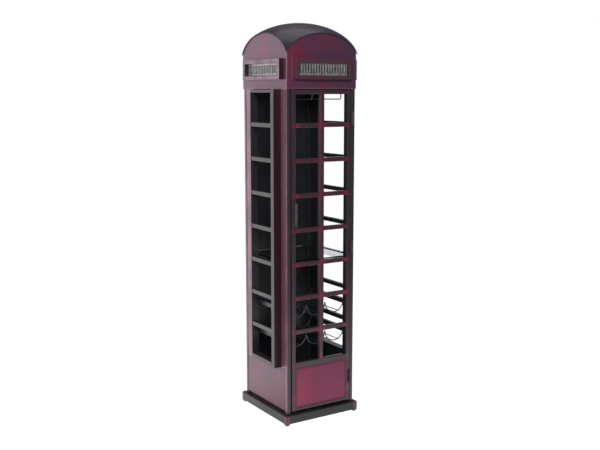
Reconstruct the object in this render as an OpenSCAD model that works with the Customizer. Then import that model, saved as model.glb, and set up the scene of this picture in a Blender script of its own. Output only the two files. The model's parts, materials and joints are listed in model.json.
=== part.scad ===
/* [Body] */
// Width of the cabinet body over the corner posts
body_w = 360; // [340:1:400]
// Depth of the cabinet body over the corner posts
body_d = 378; // [360:1:410]
// Height of the header's lower edge above the floor
header_z = 1505; // [1495:1:1515]
// Side of each square corner post
post = 18; // [16:1:20]
// Wall of every square tube
tube_wall = 1.5; // [1:0.1:2.5]
// Thickness of the wall sheets
sheet = 2; // [1.5:0.1:2.5]
// How far the wall sheets sit back from the post faces
wall_inset = 1.5; // [0.5:0.1:3]

/* [Plinth] */
// How far the plinth stands out from the body on every side
plinth_out = 16; // [10:1:22]
// Height of the plinth's deck above the floor
plinth_h = 48; // [42:1:50]
// Gap between the floor and the plinth rails
floor_gap = 8; // [5:1:12]
// Side of each square corner foot
foot_w = 24; // [20:1:30]

/* [Door] */
// Left edge of the door
door_x0 = -155; // [-158:1:-150]
// Right edge of the door, at the hinges
door_x1 = 161; // [160:0.5:161]
// Bottom edge of the door
door_z0 = 57; // [54:1:62]
// Top edge of the door
door_z1 = 1502; // [1490:1:1503]
// Thickness of the door frame
door_t = 19; // [16:1:20]
// Width of the door stiles and top rail
stile = 20; // [16:1:24]
// Top edge of the door's middle rail
mid_rail_z = 283; // [275:1:290]
// Height of the door's middle rail
mid_rail_h = 25; // [20:1:28]
// Width of the door's upright centre bar
centre_bar_w = 18; // [14:1:22]
// Height of the lowest hinge's middle
hinge_first_z = 171; // [150:1:190]
// Height of the middle hinge's middle
hinge_mid_z = 786; // [750:1:800]
// Height of the highest hinge's middle
hinge_last_z = 1371; // [1340:1:1390]

/* [Windows] */
// How far each side window box stands out from the posts
window_out = 35; // [25:1:40]
// Front edge of the side window box
window_y0 = -135; // [-150:1:-120]
// Rear edge of the left window box
window_y1 = 105; // [90:1:150]
// Rear edge of the right window box
window_y1_right = 140; // [90:1:150]
// Width of the box's front stile
window_front_stile = 27; // [22:1:32]
// Width of the left box's rear stile
window_rear_stile = 37; // [27:1:45]
// Width of the right box's rear stile
window_rear_stile_right = 33; // [27:1:45]
// Bottom of the side window box
window_z0 = 258; // [250:1:262]
// Top of the side window box
window_z1 = 1502; // [1490:1:1503]
// Height of the box's bottom rail
window_bottom_rail = 22; // [18:1:26]
// Height of the box's top rail
window_top_rail = 13; // [10:1:18]
// Height of every cross bar
bar_h = 20; // [16:1:22]
// Height of the lowest cross bar's centre
first_bar_z = 424.3; // [420:0.1:430]
// Distance between cross bar centres
bar_pitch = 153.86; // [150:0.01:154]
// Number of cross bars
bar_count = 7; // [7:1:7]

/* [Header and roof] */
// How far the header plates stand out from the posts
header_out = 3; // [2:0.5:5]
// Height of the roof's crown
roof_z = 1799; // [1790:1:1810]
// Level half axis of the domed roof
roof_a = 280; // [278:1:300]
// Upright half axis of the domed roof
roof_b = 186; // [170:1:200]
// Thickness of the roof sheet
roof_t = 2; // [1.5:0.1:3]
// Overhang of the roof past the header plates
eave = 4; // [2:1:8]
// How far each sign frame stands out from the header
sign_out = 22; // [14:1:26]
// Bottom of the sign frames
sign_z0 = 1545; // [1520:1:1550]
// Height of the sign frames
sign_h = 89; // [70:1:92]
// Width of the sign frame's border
sign_border = 18; // [12:1:20]
// Length of the front sign frame
sign_front_w = 295; // [260:1:300]
// Front end of the side sign frames
sign_y0 = -167; // [-170:1:-140]
// Rear end of the side sign frames
sign_y1 = 155; // [140:1:165]

/* [Interior] */
// Diameter of the rack wires
wire_d = 5; // [4:0.5:6]
// Radius of each bottle cradle, to the wire's centre
cradle_r = 51; // [46:0.5:51]
// Distance between bottle cradles
cradle_pitch = 104; // [102:0.5:106]
// Height of the lower rack's cradle centres
rack_first_z = 395; // [385:1:400]
// Height of the upper rack above the lower one
rack_rise = 136; // [130:1:145]
// Height of the glass shelf's underside
shelf_z = 739; // [715:1:745]
// Thickness of the glass shelf
shelf_t = 6; // [5:0.5:8]
// Height of the stemware wires
stemware_z = 1460; // [1450:1:1465]
// Height of the ceiling panel's underside
ceiling_z = 1490; // [1480:1:1492]

/* [Handle and hinges] */
// Height of the handle's centre
handle_z = 958; // [900:1:1000]
// Length of the handle
handle_l = 105; // [90:1:120]
// Width of the handle's grip
handle_w = 13; // [10:1:16]
// How far the grip's face stands out from the door
handle_out = 22; // [18:1:24]
// Outer radius of the hinge barrels
barrel_r = 6; // [5:0.5:7]
// Length of one hinge barrel
barrel_l = 30; // [25:1:35]
// Radius of the hinge pin
pin_r = 3; // [2.5:0.1:3.5]

/* [Hidden] */

// Facets on every round surface
$fn = 64;
// Half sizes of the body and the plane of the header's faces
hx = body_w / 2;
hy = body_d / 2;
header_x = hx + header_out;
header_y = hy + header_out;
// How far the plinth's rails sit back from its feet, and half its size over the feet
foot_back = 1;
plinth_x = hx + plinth_out + foot_back;
plinth_y = hy + plinth_out + foot_back;
rail_t = 18;
pad_h = 6;
pad_back = 4;
foot_round = 4;
deck_back = 2;
// Inner faces of the posts and of the wall sheets
in_x = hx - post;
in_y = hy - post;
wall_x = hx - wall_inset - sheet;
// The wall's foot: a dark groove between plinth and lower panel
groove_h = 11;
groove_back = 8;
wall_z = plinth_h + groove_h;
wall_top = header_z + 20;
post_top = 1650;
// Rails of the frame that the door closes against
frame_rail = 14;
sill_h = 20;
door_gap = 2;
// Door
door_y = -hy;
door_back = door_y + door_t;
bottom_rail_h = 13;
door_mid = (door_x0 + door_x1) / 2;
hinge_z = [hinge_first_z, hinge_mid_z, hinge_last_z];
panel_back = 0.5;
panel_t = 2.5;
cross_bar_t = 16;
bar_z = [for (i = [0:bar_count - 1]) first_bar_z + i * bar_pitch];
// Windows
window_x = hx + window_out;
window_bar_t = 18;
window_bar_back = 2;
// Roof profile
roof_steps = 28;
roof_centre_z = roof_z - roof_b;
// Signs
sign_wall = 1.5;
sign_fit = 1;
sign_plate_t = 3;
// Interior
support_h = 22;
support_in = cradle_pitch + cradle_r + wire_d / 2;
support_y = 165;
rack_z = [rack_first_z, rack_first_z + rack_rise];
rack_y = [-144, 130];
long_wire_d = 4;
long_wire_x = 20;
long_wire_y = 150;
pad_t = 2;
pad_r = 5;
pad_y = 140;
shelf_x = wall_x - 4.5;
shelf_y0 = -160;
shelf_y1 = 167;
stemware_x = [-126, -29, 29, 126];
stemware_y = 155;
// Hinges: the axis stands in front of the gap between door and post
hinge_x = hx - post - 0.5;
hinge_y = -hy - barrel_r - 0.2;
hinge_fit = 0.05;
barrel_gap = 0.5;
tab_t = 2;
tab_w = 10;
tab_h = 24;
// Handle
handle_x = door_x0 + stile / 2;
grip_t = 4;
grip_round = 2.5;
handle_post_r = 4;
handle_post_in = 14;
// Catch
catch_h = 36;
catch_w = 16;
catch_t = 16;
catch_gap = 0.2;
strike_t = 1.5;
bracket_t = 1.5;
bracket_back = 4;
strike_back = 2;
strike_w = 12;

lacquer = "#7a4456";
lacquer_dark = "#4a3a44";
slate = "#4b4a50";
black = "#202326";
silver = "#9a9a9e";
steel = "#8c8c90";

// A box from its lowest corner to its highest one
module block(lo, hi) {
    translate(lo) cube(hi - lo);
}

// A square tube: a block with a hollow that runs right through along one axis
module tube(lo, hi, axis) {
    wall = [for (i = [0:2]) i == axis ? -1 : tube_wall];
    difference() {
        block(lo, hi);
        block(lo + wall, hi - wall);
    }
}

// Draws its children on the right, from their shape on the left
module on_right() {
    mirror([1, 0, 0]) children();
}

module post_at(sx, sy) {
    x0 = sx < 0 ? -hx : in_x;
    y0 = sy < 0 ? -hy : in_y;
    color(lacquer_dark) tube([x0, y0, plinth_h], [x0 + post, y0 + post, post_top], 2);
}

module post_front_left() {
    post_at(-1, -1);
}

module post_front_right() {
    post_at(1, -1);
}

module post_rear_left() {
    post_at(-1, 1);
}

module post_rear_right() {
    post_at(1, 1);
}

// Plinth rails lie between the corner feet
module plinth_long_rail(y0) {
    reach = plinth_x - foot_w;
    top = plinth_h - deck_back;
    color(slate) tube([-reach, y0, floor_gap], [reach, y0 + rail_t, top], 0);
}

module plinth_side_rail(x0) {
    reach = plinth_y - foot_w;
    top = plinth_h - deck_back;
    color(slate) tube([x0, -reach, floor_gap], [x0 + rail_t, reach, top], 1);
}

module plinth_front_rail() {
    plinth_long_rail(-plinth_y + foot_back);
}

module plinth_rear_rail() {
    plinth_long_rail(plinth_y - foot_back - rail_t);
}

module plinth_left_rail() {
    plinth_side_rail(-plinth_x + foot_back);
}

module plinth_right_rail() {
    plinth_side_rail(plinth_x - foot_back - rail_t);
}

// A block with rounded upright edges, its corner at the origin
module rounded_block(size, h, r) {
    translate([r, 0, 0]) cube([size[0] - 2 * r, size[1], h]);
    translate([0, r, 0]) cube([size[0], size[1] - 2 * r, h]);
    for (x = [r, size[0] - r], y = [r, size[1] - r]) {
        translate([x, y, 0]) cylinder(h = h, r = r);
    }
}

module corner_foot() {
    pad_w = foot_w - 2 * pad_back;
    translate([0, 0, pad_h]) {
        rounded_block([foot_w, foot_w], plinth_h - deck_back - pad_h, foot_round);
    }
    translate([pad_back, pad_back, 0]) rounded_block([pad_w, pad_w], pad_h, foot_round);
}

module corner_feet() {
    for (sx = [0, 1], sy = [0, 1]) {
        color(lacquer) mirror([sx, 0, 0]) mirror([0, sy, 0]) {
            translate([-plinth_x, -plinth_y, 0]) corner_foot();
        }
    }
}

module plinth_deck() {
    reach = [plinth_x - foot_back - deck_back, plinth_y - foot_back - deck_back];
    color(slate) {
        block([-reach[0], -reach[1], plinth_h - deck_back], [reach[0], reach[1], plinth_h]);
    }
}

// A rail across the front, just behind the door
module front_rail(reach, z0, z1) {
    y0 = door_back + door_gap;
    color(black) tube([-reach, y0, z0], [reach, y0 + frame_rail, z1], 0);
}

module sill_rail_front() {
    front_rail(hx - groove_back - sheet, plinth_h, plinth_h + sill_h);
}

module head_rail_front() {
    front_rail(wall_x, ceiling_z + sheet, wall_top);
}

module ceiling_panel() {
    y0 = door_back + door_gap;
    color(black) block([-wall_x, y0, ceiling_z], [wall_x, in_y, ceiling_z + sheet]);
}

module back_panel() {
    y1 = hy - wall_inset;
    color(black) block([-in_x, y1 - sheet, plinth_h], [in_x, y1, wall_top]);
}

// Lower side panel, with its foot folded back to leave the groove above the plinth
module lower_panel_left() {
    x0 = -wall_x - sheet;
    x2 = -hx + groove_back;
    color(lacquer) {
        block([x0, -in_y, wall_z], [x0 + sheet, in_y, window_z0]);
        block([x0, -in_y, wall_z], [x2 + sheet, in_y, wall_z + sheet]);
        block([x2, -in_y, plinth_h], [x2 + sheet, in_y, wall_z + sheet]);
    }
}

module lower_panel_right() {
    on_right() lower_panel_left();
}

module wall_strip(y0, y1) {
    color(lacquer) block([-wall_x - sheet, y0, window_z0], [-wall_x, y1, wall_top]);
}

module front_strip_left() {
    wall_strip(-in_y, window_y0);
}

module front_strip_right() {
    on_right() front_strip_left();
}

module rear_strip_left() {
    wall_strip(window_y1, in_y);
}

module rear_strip_right() {
    on_right() wall_strip(window_y1_right, in_y);
}

module window_stile(y0, y1) {
    color(lacquer) tube([-window_x, y0, window_z0], [-wall_x, y1, window_z1], 2);
}

module window_front_stile_left() {
    window_stile(window_y0, window_y0 + window_front_stile);
}

module window_front_stile_right() {
    on_right() window_front_stile_left();
}

module window_rear_stile_left() {
    window_stile(window_y1 - window_rear_stile, window_y1);
}

module window_rear_stile_right() {
    on_right() window_stile(window_y1_right - window_rear_stile_right, window_y1_right);
}

// Bottom rail, top rail with the wall flange above it, and the cross bars
module window_bars(rear, rear_stile) {
    y0 = window_y0 + window_front_stile;
    y1 = rear - rear_stile;
    x0 = -window_x + window_bar_back;
    color(lacquer) {
        tube([-window_x, y0, window_z0], [-wall_x, y1, window_z0 + window_bottom_rail], 1);
        tube([-window_x, y0, window_z1 - window_top_rail], [-wall_x, y1, window_z1], 1);
        block([-wall_x - sheet, window_y0, window_z1], [-wall_x, rear, wall_top]);
        for (z = bar_z) {
            tube([x0, y0, z - bar_h / 2], [x0 + window_bar_t, y1, z + bar_h / 2], 1);
        }
    }
}

module window_bars_left() {
    window_bars(window_y1, window_rear_stile);
}

module window_bars_right() {
    on_right() window_bars(window_y1_right, window_rear_stile_right);
}

// Height of the dome's surface at a distance r from the upright axis
function dome_z(r, a, b) = roof_centre_z + b * sqrt(1 - pow(r / a, 2));

// The space under a dome, down to the header's lower edge
module under_dome(inset) {
    a = roof_a - inset;
    b = roof_b - inset;
    rim = [for (i = [0:roof_steps]) a * sin(i * 90 / roof_steps)];
    crown = [for (r = rim) [r, dome_z(r, a, b)]];
    rotate_extrude($fn = 180) polygon(concat(crown, [[a, header_z], [0, header_z]]));
}

// The dome's space within a square that reaches so far past the header plates
module dome_within(inset, out) {
    reach = [header_x + out, header_y + out];
    intersection() {
        under_dome(inset);
        block([-reach[0], -reach[1], header_z], [reach[0], reach[1], roof_z]);
    }
}

module roof_dome() {
    color(lacquer_dark) difference() {
        dome_within(0, eave);
        under_dome(roof_t);
    }
}

// A header plate is a sheet cut to the dome's underside, so its top edge is an arch
module header_plate(lo, hi) {
    color(lacquer) intersection() {
        block(lo, hi);
        under_dome(roof_t);
    }
}

module header_front() {
    header_plate([-header_x, -header_y, header_z], [header_x, -hy, roof_z]);
}

module header_rear() {
    header_plate([-header_x, hy, header_z], [header_x, header_y, roof_z]);
}

module header_left() {
    header_plate([-header_x, -hy, header_z], [-hx, hy, roof_z]);
}

module header_right() {
    on_right() header_left();
}

// A sign frame lies on its back at the origin, faces +Z, and is open behind its border
module sign_frame(w) {
    inner = [w - 2 * sign_border, sign_h - 2 * sign_border];
    difference() {
        translate([-w / 2, -sign_h / 2, 0]) cube([w, sign_h, sign_out]);
        translate([-inner[0] / 2, -inner[1] / 2, -1]) cube([inner[0], inner[1], sign_out + 2]);
        difference() {
            translate([sign_wall - w / 2, sign_wall - sign_h / 2, -1]) {
                cube([w - 2 * sign_wall, sign_h - 2 * sign_wall, sign_out + 1 - sign_wall]);
            }
            translate([-inner[0] / 2 - sign_wall, -inner[1] / 2 - sign_wall, -2]) {
                cube([inner[0] + 2 * sign_wall, inner[1] + 2 * sign_wall, sign_out + 2]);
            }
        }
    }
}

module sign_plate(w) {
    size = [w - 2 * sign_border - sign_fit, sign_h - 2 * sign_border - sign_fit];
    translate([-size[0] / 2, -size[1] / 2, 0]) cube([size[0], size[1], sign_plate_t]);
}

module on_header_front() {
    translate([0, -header_y, sign_z0 + sign_h / 2]) rotate([90, 0, 0]) children();
}

module on_header_left() {
    translate([-header_x, (sign_y0 + sign_y1) / 2, sign_z0 + sign_h / 2]) {
        rotate([90, 0, -90]) children();
    }
}

module sign_frame_front() {
    color(lacquer) on_header_front() sign_frame(sign_front_w);
}

module sign_frame_left() {
    color(lacquer) on_header_left() sign_frame(sign_y1 - sign_y0);
}

module sign_frame_right() {
    on_right() sign_frame_left();
}

module sign_plate_front() {
    color(silver) on_header_front() sign_plate(sign_front_w);
}

module sign_plate_left() {
    color(silver) on_header_left() sign_plate(sign_y1 - sign_y0);
}

module sign_plate_right() {
    on_right() sign_plate_left();
}

// A straight wire with round ends
module wire(from, to, d) {
    along = to - from;
    level = norm([along[0], along[1]]);
    translate(from) rotate([0, atan2(level, along[2]), atan2(along[1], along[0])]) {
        cylinder(h = norm(along), d = d);
    }
    for (p = [from, to]) {
        translate(p) sphere(d = d);
    }
}

// Wires that hold glasses by their feet, with their ends turned up to the ceiling
module stemware_wires() {
    color(black) for (x = stemware_x) {
        wire([x, -stemware_y, stemware_z], [x, stemware_y, stemware_z], wire_d);
        for (y = [-stemware_y, stemware_y]) {
            translate([x, y, stemware_z]) cylinder(h = ceiling_z - stemware_z, d = wire_d);
        }
    }
}

// Side bars that carry the two racks and the glass shelf
module rack_bars_left() {
    tops = [rack_z[0] + wire_d / 2, rack_z[1] + wire_d / 2, shelf_z - pad_t];
    color(black) for (z = tops) {
        tube([-wall_x, -support_y, z - support_h], [-support_in, support_y, z], 1);
    }
}

module rack_bars_right() {
    on_right() rack_bars_left();
}

// Half a ring of wire that hangs below its centre
module cradle() {
    rotate([-90, 0, 0]) rotate_extrude(angle = 180) translate([cradle_r, 0]) circle(d = wire_d);
}

module bottle_rack(z) {
    color(black) {
        for (i = [-1:1]) {
            for (y = rack_y) {
                translate([i * cradle_pitch, y, z]) cradle();
            }
            for (side = [-1, 1]) {
                x = i * cradle_pitch + side * long_wire_x;
                drop = sqrt(pow(cradle_r, 2) - pow(long_wire_x, 2));
                wire([x, -long_wire_y, z - drop], [x, long_wire_y, z - drop], long_wire_d);
            }
        }
        // The cradles join between the bottles, and end against the side bars
        for (y = rack_y, side = [-1, 1]) {
            wire([side * cradle_r, y, z], [side * (cradle_pitch - cradle_r), y, z], wire_d);
            translate([side * (cradle_pitch + cradle_r), y, z]) sphere(d = wire_d);
        }
    }
}

module bottle_rack_lower() {
    bottle_rack(rack_z[0]);
}

module bottle_rack_upper() {
    bottle_rack(rack_z[1]);
}

module shelf_pads() {
    x = (support_in + wall_x) / 2;
    color("#303234") for (sx = [-1, 1], y = [-pad_y, pad_y]) {
        translate([sx * x, y, shelf_z - pad_t]) cylinder(h = pad_t, r = pad_r);
    }
}

module glass_shelf() {
    color("#a8c0c4", 0.4) {
        block([-shelf_x, shelf_y0, shelf_z], [shelf_x, shelf_y1, shelf_z + shelf_t]);
    }
}

// Hinge barrel with its welded tab, standing on the origin with the tab towards +X
module barrel(bore) {
    difference() {
        union() {
            cylinder(h = barrel_l, r = barrel_r);
            translate([0, -hinge_y - hy - tab_t, (barrel_l - tab_h) / 2]) {
                cube([tab_w, tab_t, tab_h]);
            }
        }
        translate([0, 0, -1]) cylinder(h = barrel_l + 2, r = bore);
    }
}

module at_hinges() {
    for (z = hinge_z) {
        translate([hinge_x, hinge_y, z]) children();
    }
}

module hinge_lower_barrels() {
    color(steel) at_hinges() translate([0, 0, -barrel_l]) barrel(pin_r);
}

module hinge_upper_barrels() {
    color(steel) at_hinges() translate([0, 0, barrel_gap]) {
        mirror([1, 0, 0]) barrel(pin_r + hinge_fit);
    }
}

module hinge_pins() {
    h = 2 * barrel_l + barrel_gap;
    color(steel) at_hinges() translate([0, 0, -barrel_l]) cylinder(h = h, r = pin_r);
}

// A block on the post, with a bracket in the gap between post and door
module magnetic_catch() {
    y0 = door_back + strike_t + catch_gap;
    z0 = handle_z - catch_h / 2;
    color("#303234") {
        block([-in_x, y0, z0], [-in_x + catch_w, y0 + catch_t, z0 + catch_h]);
        block([-in_x, door_y + bracket_back, z0], [-in_x + bracket_t, y0 + catch_t, z0 + catch_h]);
    }
}

module strike_plate() {
    z0 = handle_z - catch_h / 2 + strike_back;
    x0 = door_x0 + strike_back;
    color(steel) {
        block([x0, door_back, z0], [x0 + strike_w, door_back + strike_t, z0 + catch_h - 2 * strike_back]);
    }
}

module door_stile(x0) {
    color(lacquer_dark) tube([x0, door_y, door_z0], [x0 + stile, door_back, door_z1], 2);
}

module door_left_stile() {
    door_stile(door_x0);
}

module door_right_stile() {
    door_stile(door_x1 - stile);
}

module door_rail(z0, z1) {
    color(lacquer_dark) {
        tube([door_x0 + stile, door_y, z0], [door_x1 - stile, door_back, z1], 0);
    }
}

module door_top_rail() {
    door_rail(door_z1 - stile, door_z1);
}

module door_mid_rail() {
    door_rail(mid_rail_z - mid_rail_h, mid_rail_z);
}

module door_bottom_rail() {
    door_rail(door_z0, door_z0 + bottom_rail_h);
}

module door_centre_bar() {
    lo = [door_mid - centre_bar_w / 2, door_y, mid_rail_z];
    color(lacquer_dark) tube(lo, [lo[0] + centre_bar_w, door_back, door_z1 - stile], 2);
}

// Cross bars, in two lengths either side of the centre bar
module door_cross_bars() {
    ends = [[door_x0 + stile, door_mid - centre_bar_w / 2],
        [door_mid + centre_bar_w / 2, door_x1 - stile]];
    color(lacquer_dark) for (z = bar_z, e = ends) {
        tube([e[0], door_y, z - bar_h / 2], [e[1], door_y + cross_bar_t, z + bar_h / 2], 0);
    }
}

module door_panel() {
    y0 = door_y + panel_back;
    z1 = mid_rail_z - mid_rail_h;
    color(lacquer) {
        block([door_x0 + stile, y0, door_z0 + bottom_rail_h], [door_x1 - stile, y0 + panel_t, z1]);
    }
}

// A flat grip on two round posts
module door_handle() {
    color(steel) {
        translate([handle_x, door_y - handle_out, handle_z]) rotate([-90, 0, 0]) {
            translate([-handle_w / 2, -handle_l / 2, 0]) {
                rounded_block([handle_w, handle_l], grip_t, grip_round);
            }
            for (side = [-1, 1]) {
                translate([0, side * (handle_l / 2 - handle_post_in), 0]) {
                    cylinder(h = handle_out, r = handle_post_r);
                }
            }
        }
    }
}

plinth_front_rail();
plinth_rear_rail();
plinth_left_rail();
plinth_right_rail();
corner_feet();
plinth_deck();
post_front_left();
post_front_right();
post_rear_left();
post_rear_right();
sill_rail_front();
head_rail_front();
ceiling_panel();
back_panel();
lower_panel_left();
lower_panel_right();
front_strip_left();
front_strip_right();
rear_strip_left();
rear_strip_right();
window_front_stile_left();
window_front_stile_right();
window_rear_stile_left();
window_rear_stile_right();
window_bars_left();
window_bars_right();
header_front();
header_rear();
header_left();
header_right();
sign_frame_front();
sign_frame_left();
sign_frame_right();
sign_plate_front();
sign_plate_left();
sign_plate_right();
roof_dome();
stemware_wires();
rack_bars_left();
rack_bars_right();
bottle_rack_lower();
bottle_rack_upper();
shelf_pads();
hinge_lower_barrels();
hinge_pins();
magnetic_catch();
door_left_stile();
door_right_stile();
door_top_rail();
door_mid_rail();
door_bottom_rail();
door_centre_bar();
door_cross_bars();
door_panel();
door_handle();
hinge_upper_barrels();
strike_plate();
glass_shelf();
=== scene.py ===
import json
import math
from contextlib import contextmanager

import bmesh
import bpy
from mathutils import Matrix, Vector

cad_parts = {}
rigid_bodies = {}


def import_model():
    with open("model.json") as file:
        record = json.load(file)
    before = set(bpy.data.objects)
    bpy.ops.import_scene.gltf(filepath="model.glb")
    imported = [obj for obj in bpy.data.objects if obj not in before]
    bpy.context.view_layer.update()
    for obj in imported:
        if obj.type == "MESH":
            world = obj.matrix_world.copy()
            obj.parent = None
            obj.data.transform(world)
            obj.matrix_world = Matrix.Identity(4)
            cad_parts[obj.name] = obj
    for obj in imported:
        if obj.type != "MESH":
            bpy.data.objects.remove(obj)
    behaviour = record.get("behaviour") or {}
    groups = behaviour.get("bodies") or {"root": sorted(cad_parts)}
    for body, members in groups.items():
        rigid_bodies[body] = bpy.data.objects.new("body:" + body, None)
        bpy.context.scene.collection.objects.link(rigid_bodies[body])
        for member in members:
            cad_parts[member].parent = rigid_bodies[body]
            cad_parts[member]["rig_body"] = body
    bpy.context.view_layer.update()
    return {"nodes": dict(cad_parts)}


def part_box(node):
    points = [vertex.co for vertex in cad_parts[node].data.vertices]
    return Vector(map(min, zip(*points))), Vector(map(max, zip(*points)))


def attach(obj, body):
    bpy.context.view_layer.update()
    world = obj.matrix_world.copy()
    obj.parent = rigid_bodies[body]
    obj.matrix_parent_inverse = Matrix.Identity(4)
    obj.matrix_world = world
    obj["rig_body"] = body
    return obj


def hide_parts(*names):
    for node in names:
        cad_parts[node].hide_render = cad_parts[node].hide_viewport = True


bl_info = {
    "name": "Booth Bar Cabinet",
    "version": (1, 0, 0),
    "blender": (4, 5, 0),
    "location": "View3D > Sidebar > Booth",
    "description": "Finishes a booth-shaped bar cabinet of lacquered steel on its packed frame",
    "category": "Object",
}

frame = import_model()

X, Y, Z = 0, 1, 2
MM = 0.001
# A unit normal or edge direction with more than this along an axis counts as lying along it
ALIGNED = 0.9
# And one with more than this along it belongs to a flat end, not to the rounding beside it
FLAT = 0.99
SMOOTH_ANGLE = math.radians(35)
# In the camera's own millimetres, not the cabinet's
SENSOR_WIDTH = 36


# ---------------------------------------------------------------- settings


class BoothSizes(bpy.types.PropertyGroup):
    """Sizes of the finish that the frame doesn't hold"""

    tube_rounding: bpy.props.FloatProperty(
        name="Tube rounding", description="Radius of the corners of every square tube",
        default=2.2 * MM, unit="LENGTH")
    tube_wall: bpy.props.FloatProperty(
        name="Tube wall", description="Wall thickness of every square tube",
        default=1.5 * MM, unit="LENGTH")
    sheet: bpy.props.FloatProperty(
        name="Sheet", description="Thickness of the folded sheets",
        default=2 * MM, unit="LENGTH")
    sheet_rounding: bpy.props.FloatProperty(
        name="Sheet rounding", description="Radius of the edges of every sheet",
        default=0.6 * MM, unit="LENGTH")
    fold_rounding: bpy.props.FloatProperty(
        name="Fold rounding", description="Outer radius of a folded sheet's corner",
        default=2.4 * MM, unit="LENGTH")
    foot_rounding: bpy.props.FloatProperty(
        name="Foot rounding", description="Radius of the corner feet's upright edges",
        default=4 * MM, unit="LENGTH")
    foot_pad: bpy.props.FloatProperty(
        name="Foot pad", description="Height of the narrower end that a foot stands on",
        default=6 * MM, unit="LENGTH")
    roof_level_axis: bpy.props.FloatProperty(
        name="Roof level axis", description="Level half axis of the domed roof",
        default=280 * MM, unit="LENGTH")
    roof_upright_axis: bpy.props.FloatProperty(
        name="Roof upright axis", description="Upright half axis of the domed roof",
        default=186 * MM, unit="LENGTH")
    roof_hem: bpy.props.FloatProperty(
        name="Roof hem", description="Drop of the folded edge round the roof",
        default=3.5 * MM, unit="LENGTH")
    sign_border: bpy.props.FloatProperty(
        name="Sign border", description="Width of a sign frame's border",
        default=18 * MM, unit="LENGTH")
    rib_pitch: bpy.props.FloatProperty(
        name="Rib pitch", description="Distance between the raised ribs of a sign plate",
        default=14 * MM, unit="LENGTH")
    rib_width: bpy.props.FloatProperty(
        name="Rib width", description="Width of each raised rib of a sign plate",
        default=6 * MM, unit="LENGTH")
    rib_rise: bpy.props.FloatProperty(
        name="Rib rise", description="How far the ribs stand out of a sign plate",
        default=0.9 * MM, unit="LENGTH")
    wire: bpy.props.FloatProperty(
        name="Wire", description="Diameter of the bent rack wires",
        default=5 * MM, unit="LENGTH")
    long_wire: bpy.props.FloatProperty(
        name="Long wire", description="Diameter of the straight wires under the bottles",
        default=4 * MM, unit="LENGTH")
    cradle_radius: bpy.props.FloatProperty(
        name="Cradle radius", description="Radius of a bottle cradle at the wire's centre",
        default=51 * MM, unit="LENGTH")
    long_wire_reach: bpy.props.FloatProperty(
        name="Long wire reach", description="Distance of a long wire from its cradle's middle",
        default=20 * MM, unit="LENGTH")
    wire_bend: bpy.props.FloatProperty(
        name="Wire bend", description="Radius of the bends of the stemware wires",
        default=9 * MM, unit="LENGTH")
    wall_foot: bpy.props.FloatProperty(
        name="Wall foot", description="Height of the drawn-in foot of a lower side panel",
        default=11 * MM, unit="LENGTH")
    strap: bpy.props.FloatProperty(
        name="Strap", description="Height of the strap over a lower side panel's top edge",
        default=15 * MM, unit="LENGTH")
    corner_rounding: bpy.props.FloatProperty(
        name="Header corner", description="Radius of the header's upright corners",
        default=1.4 * MM, unit="LENGTH")
    cradle_front: bpy.props.FloatProperty(
        name="Front cradles", description="Distance of the front cradles from the wires' ends",
        default=6 * MM, unit="LENGTH")
    cradle_back: bpy.props.FloatProperty(
        name="Back cradles", description="Distance of the back cradles from the wires' ends",
        default=20 * MM, unit="LENGTH")
    panel_margin: bpy.props.FloatProperty(
        name="Panel margin", description="Distance from the door panel's edge to its groove",
        default=5 * MM, unit="LENGTH")


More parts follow.
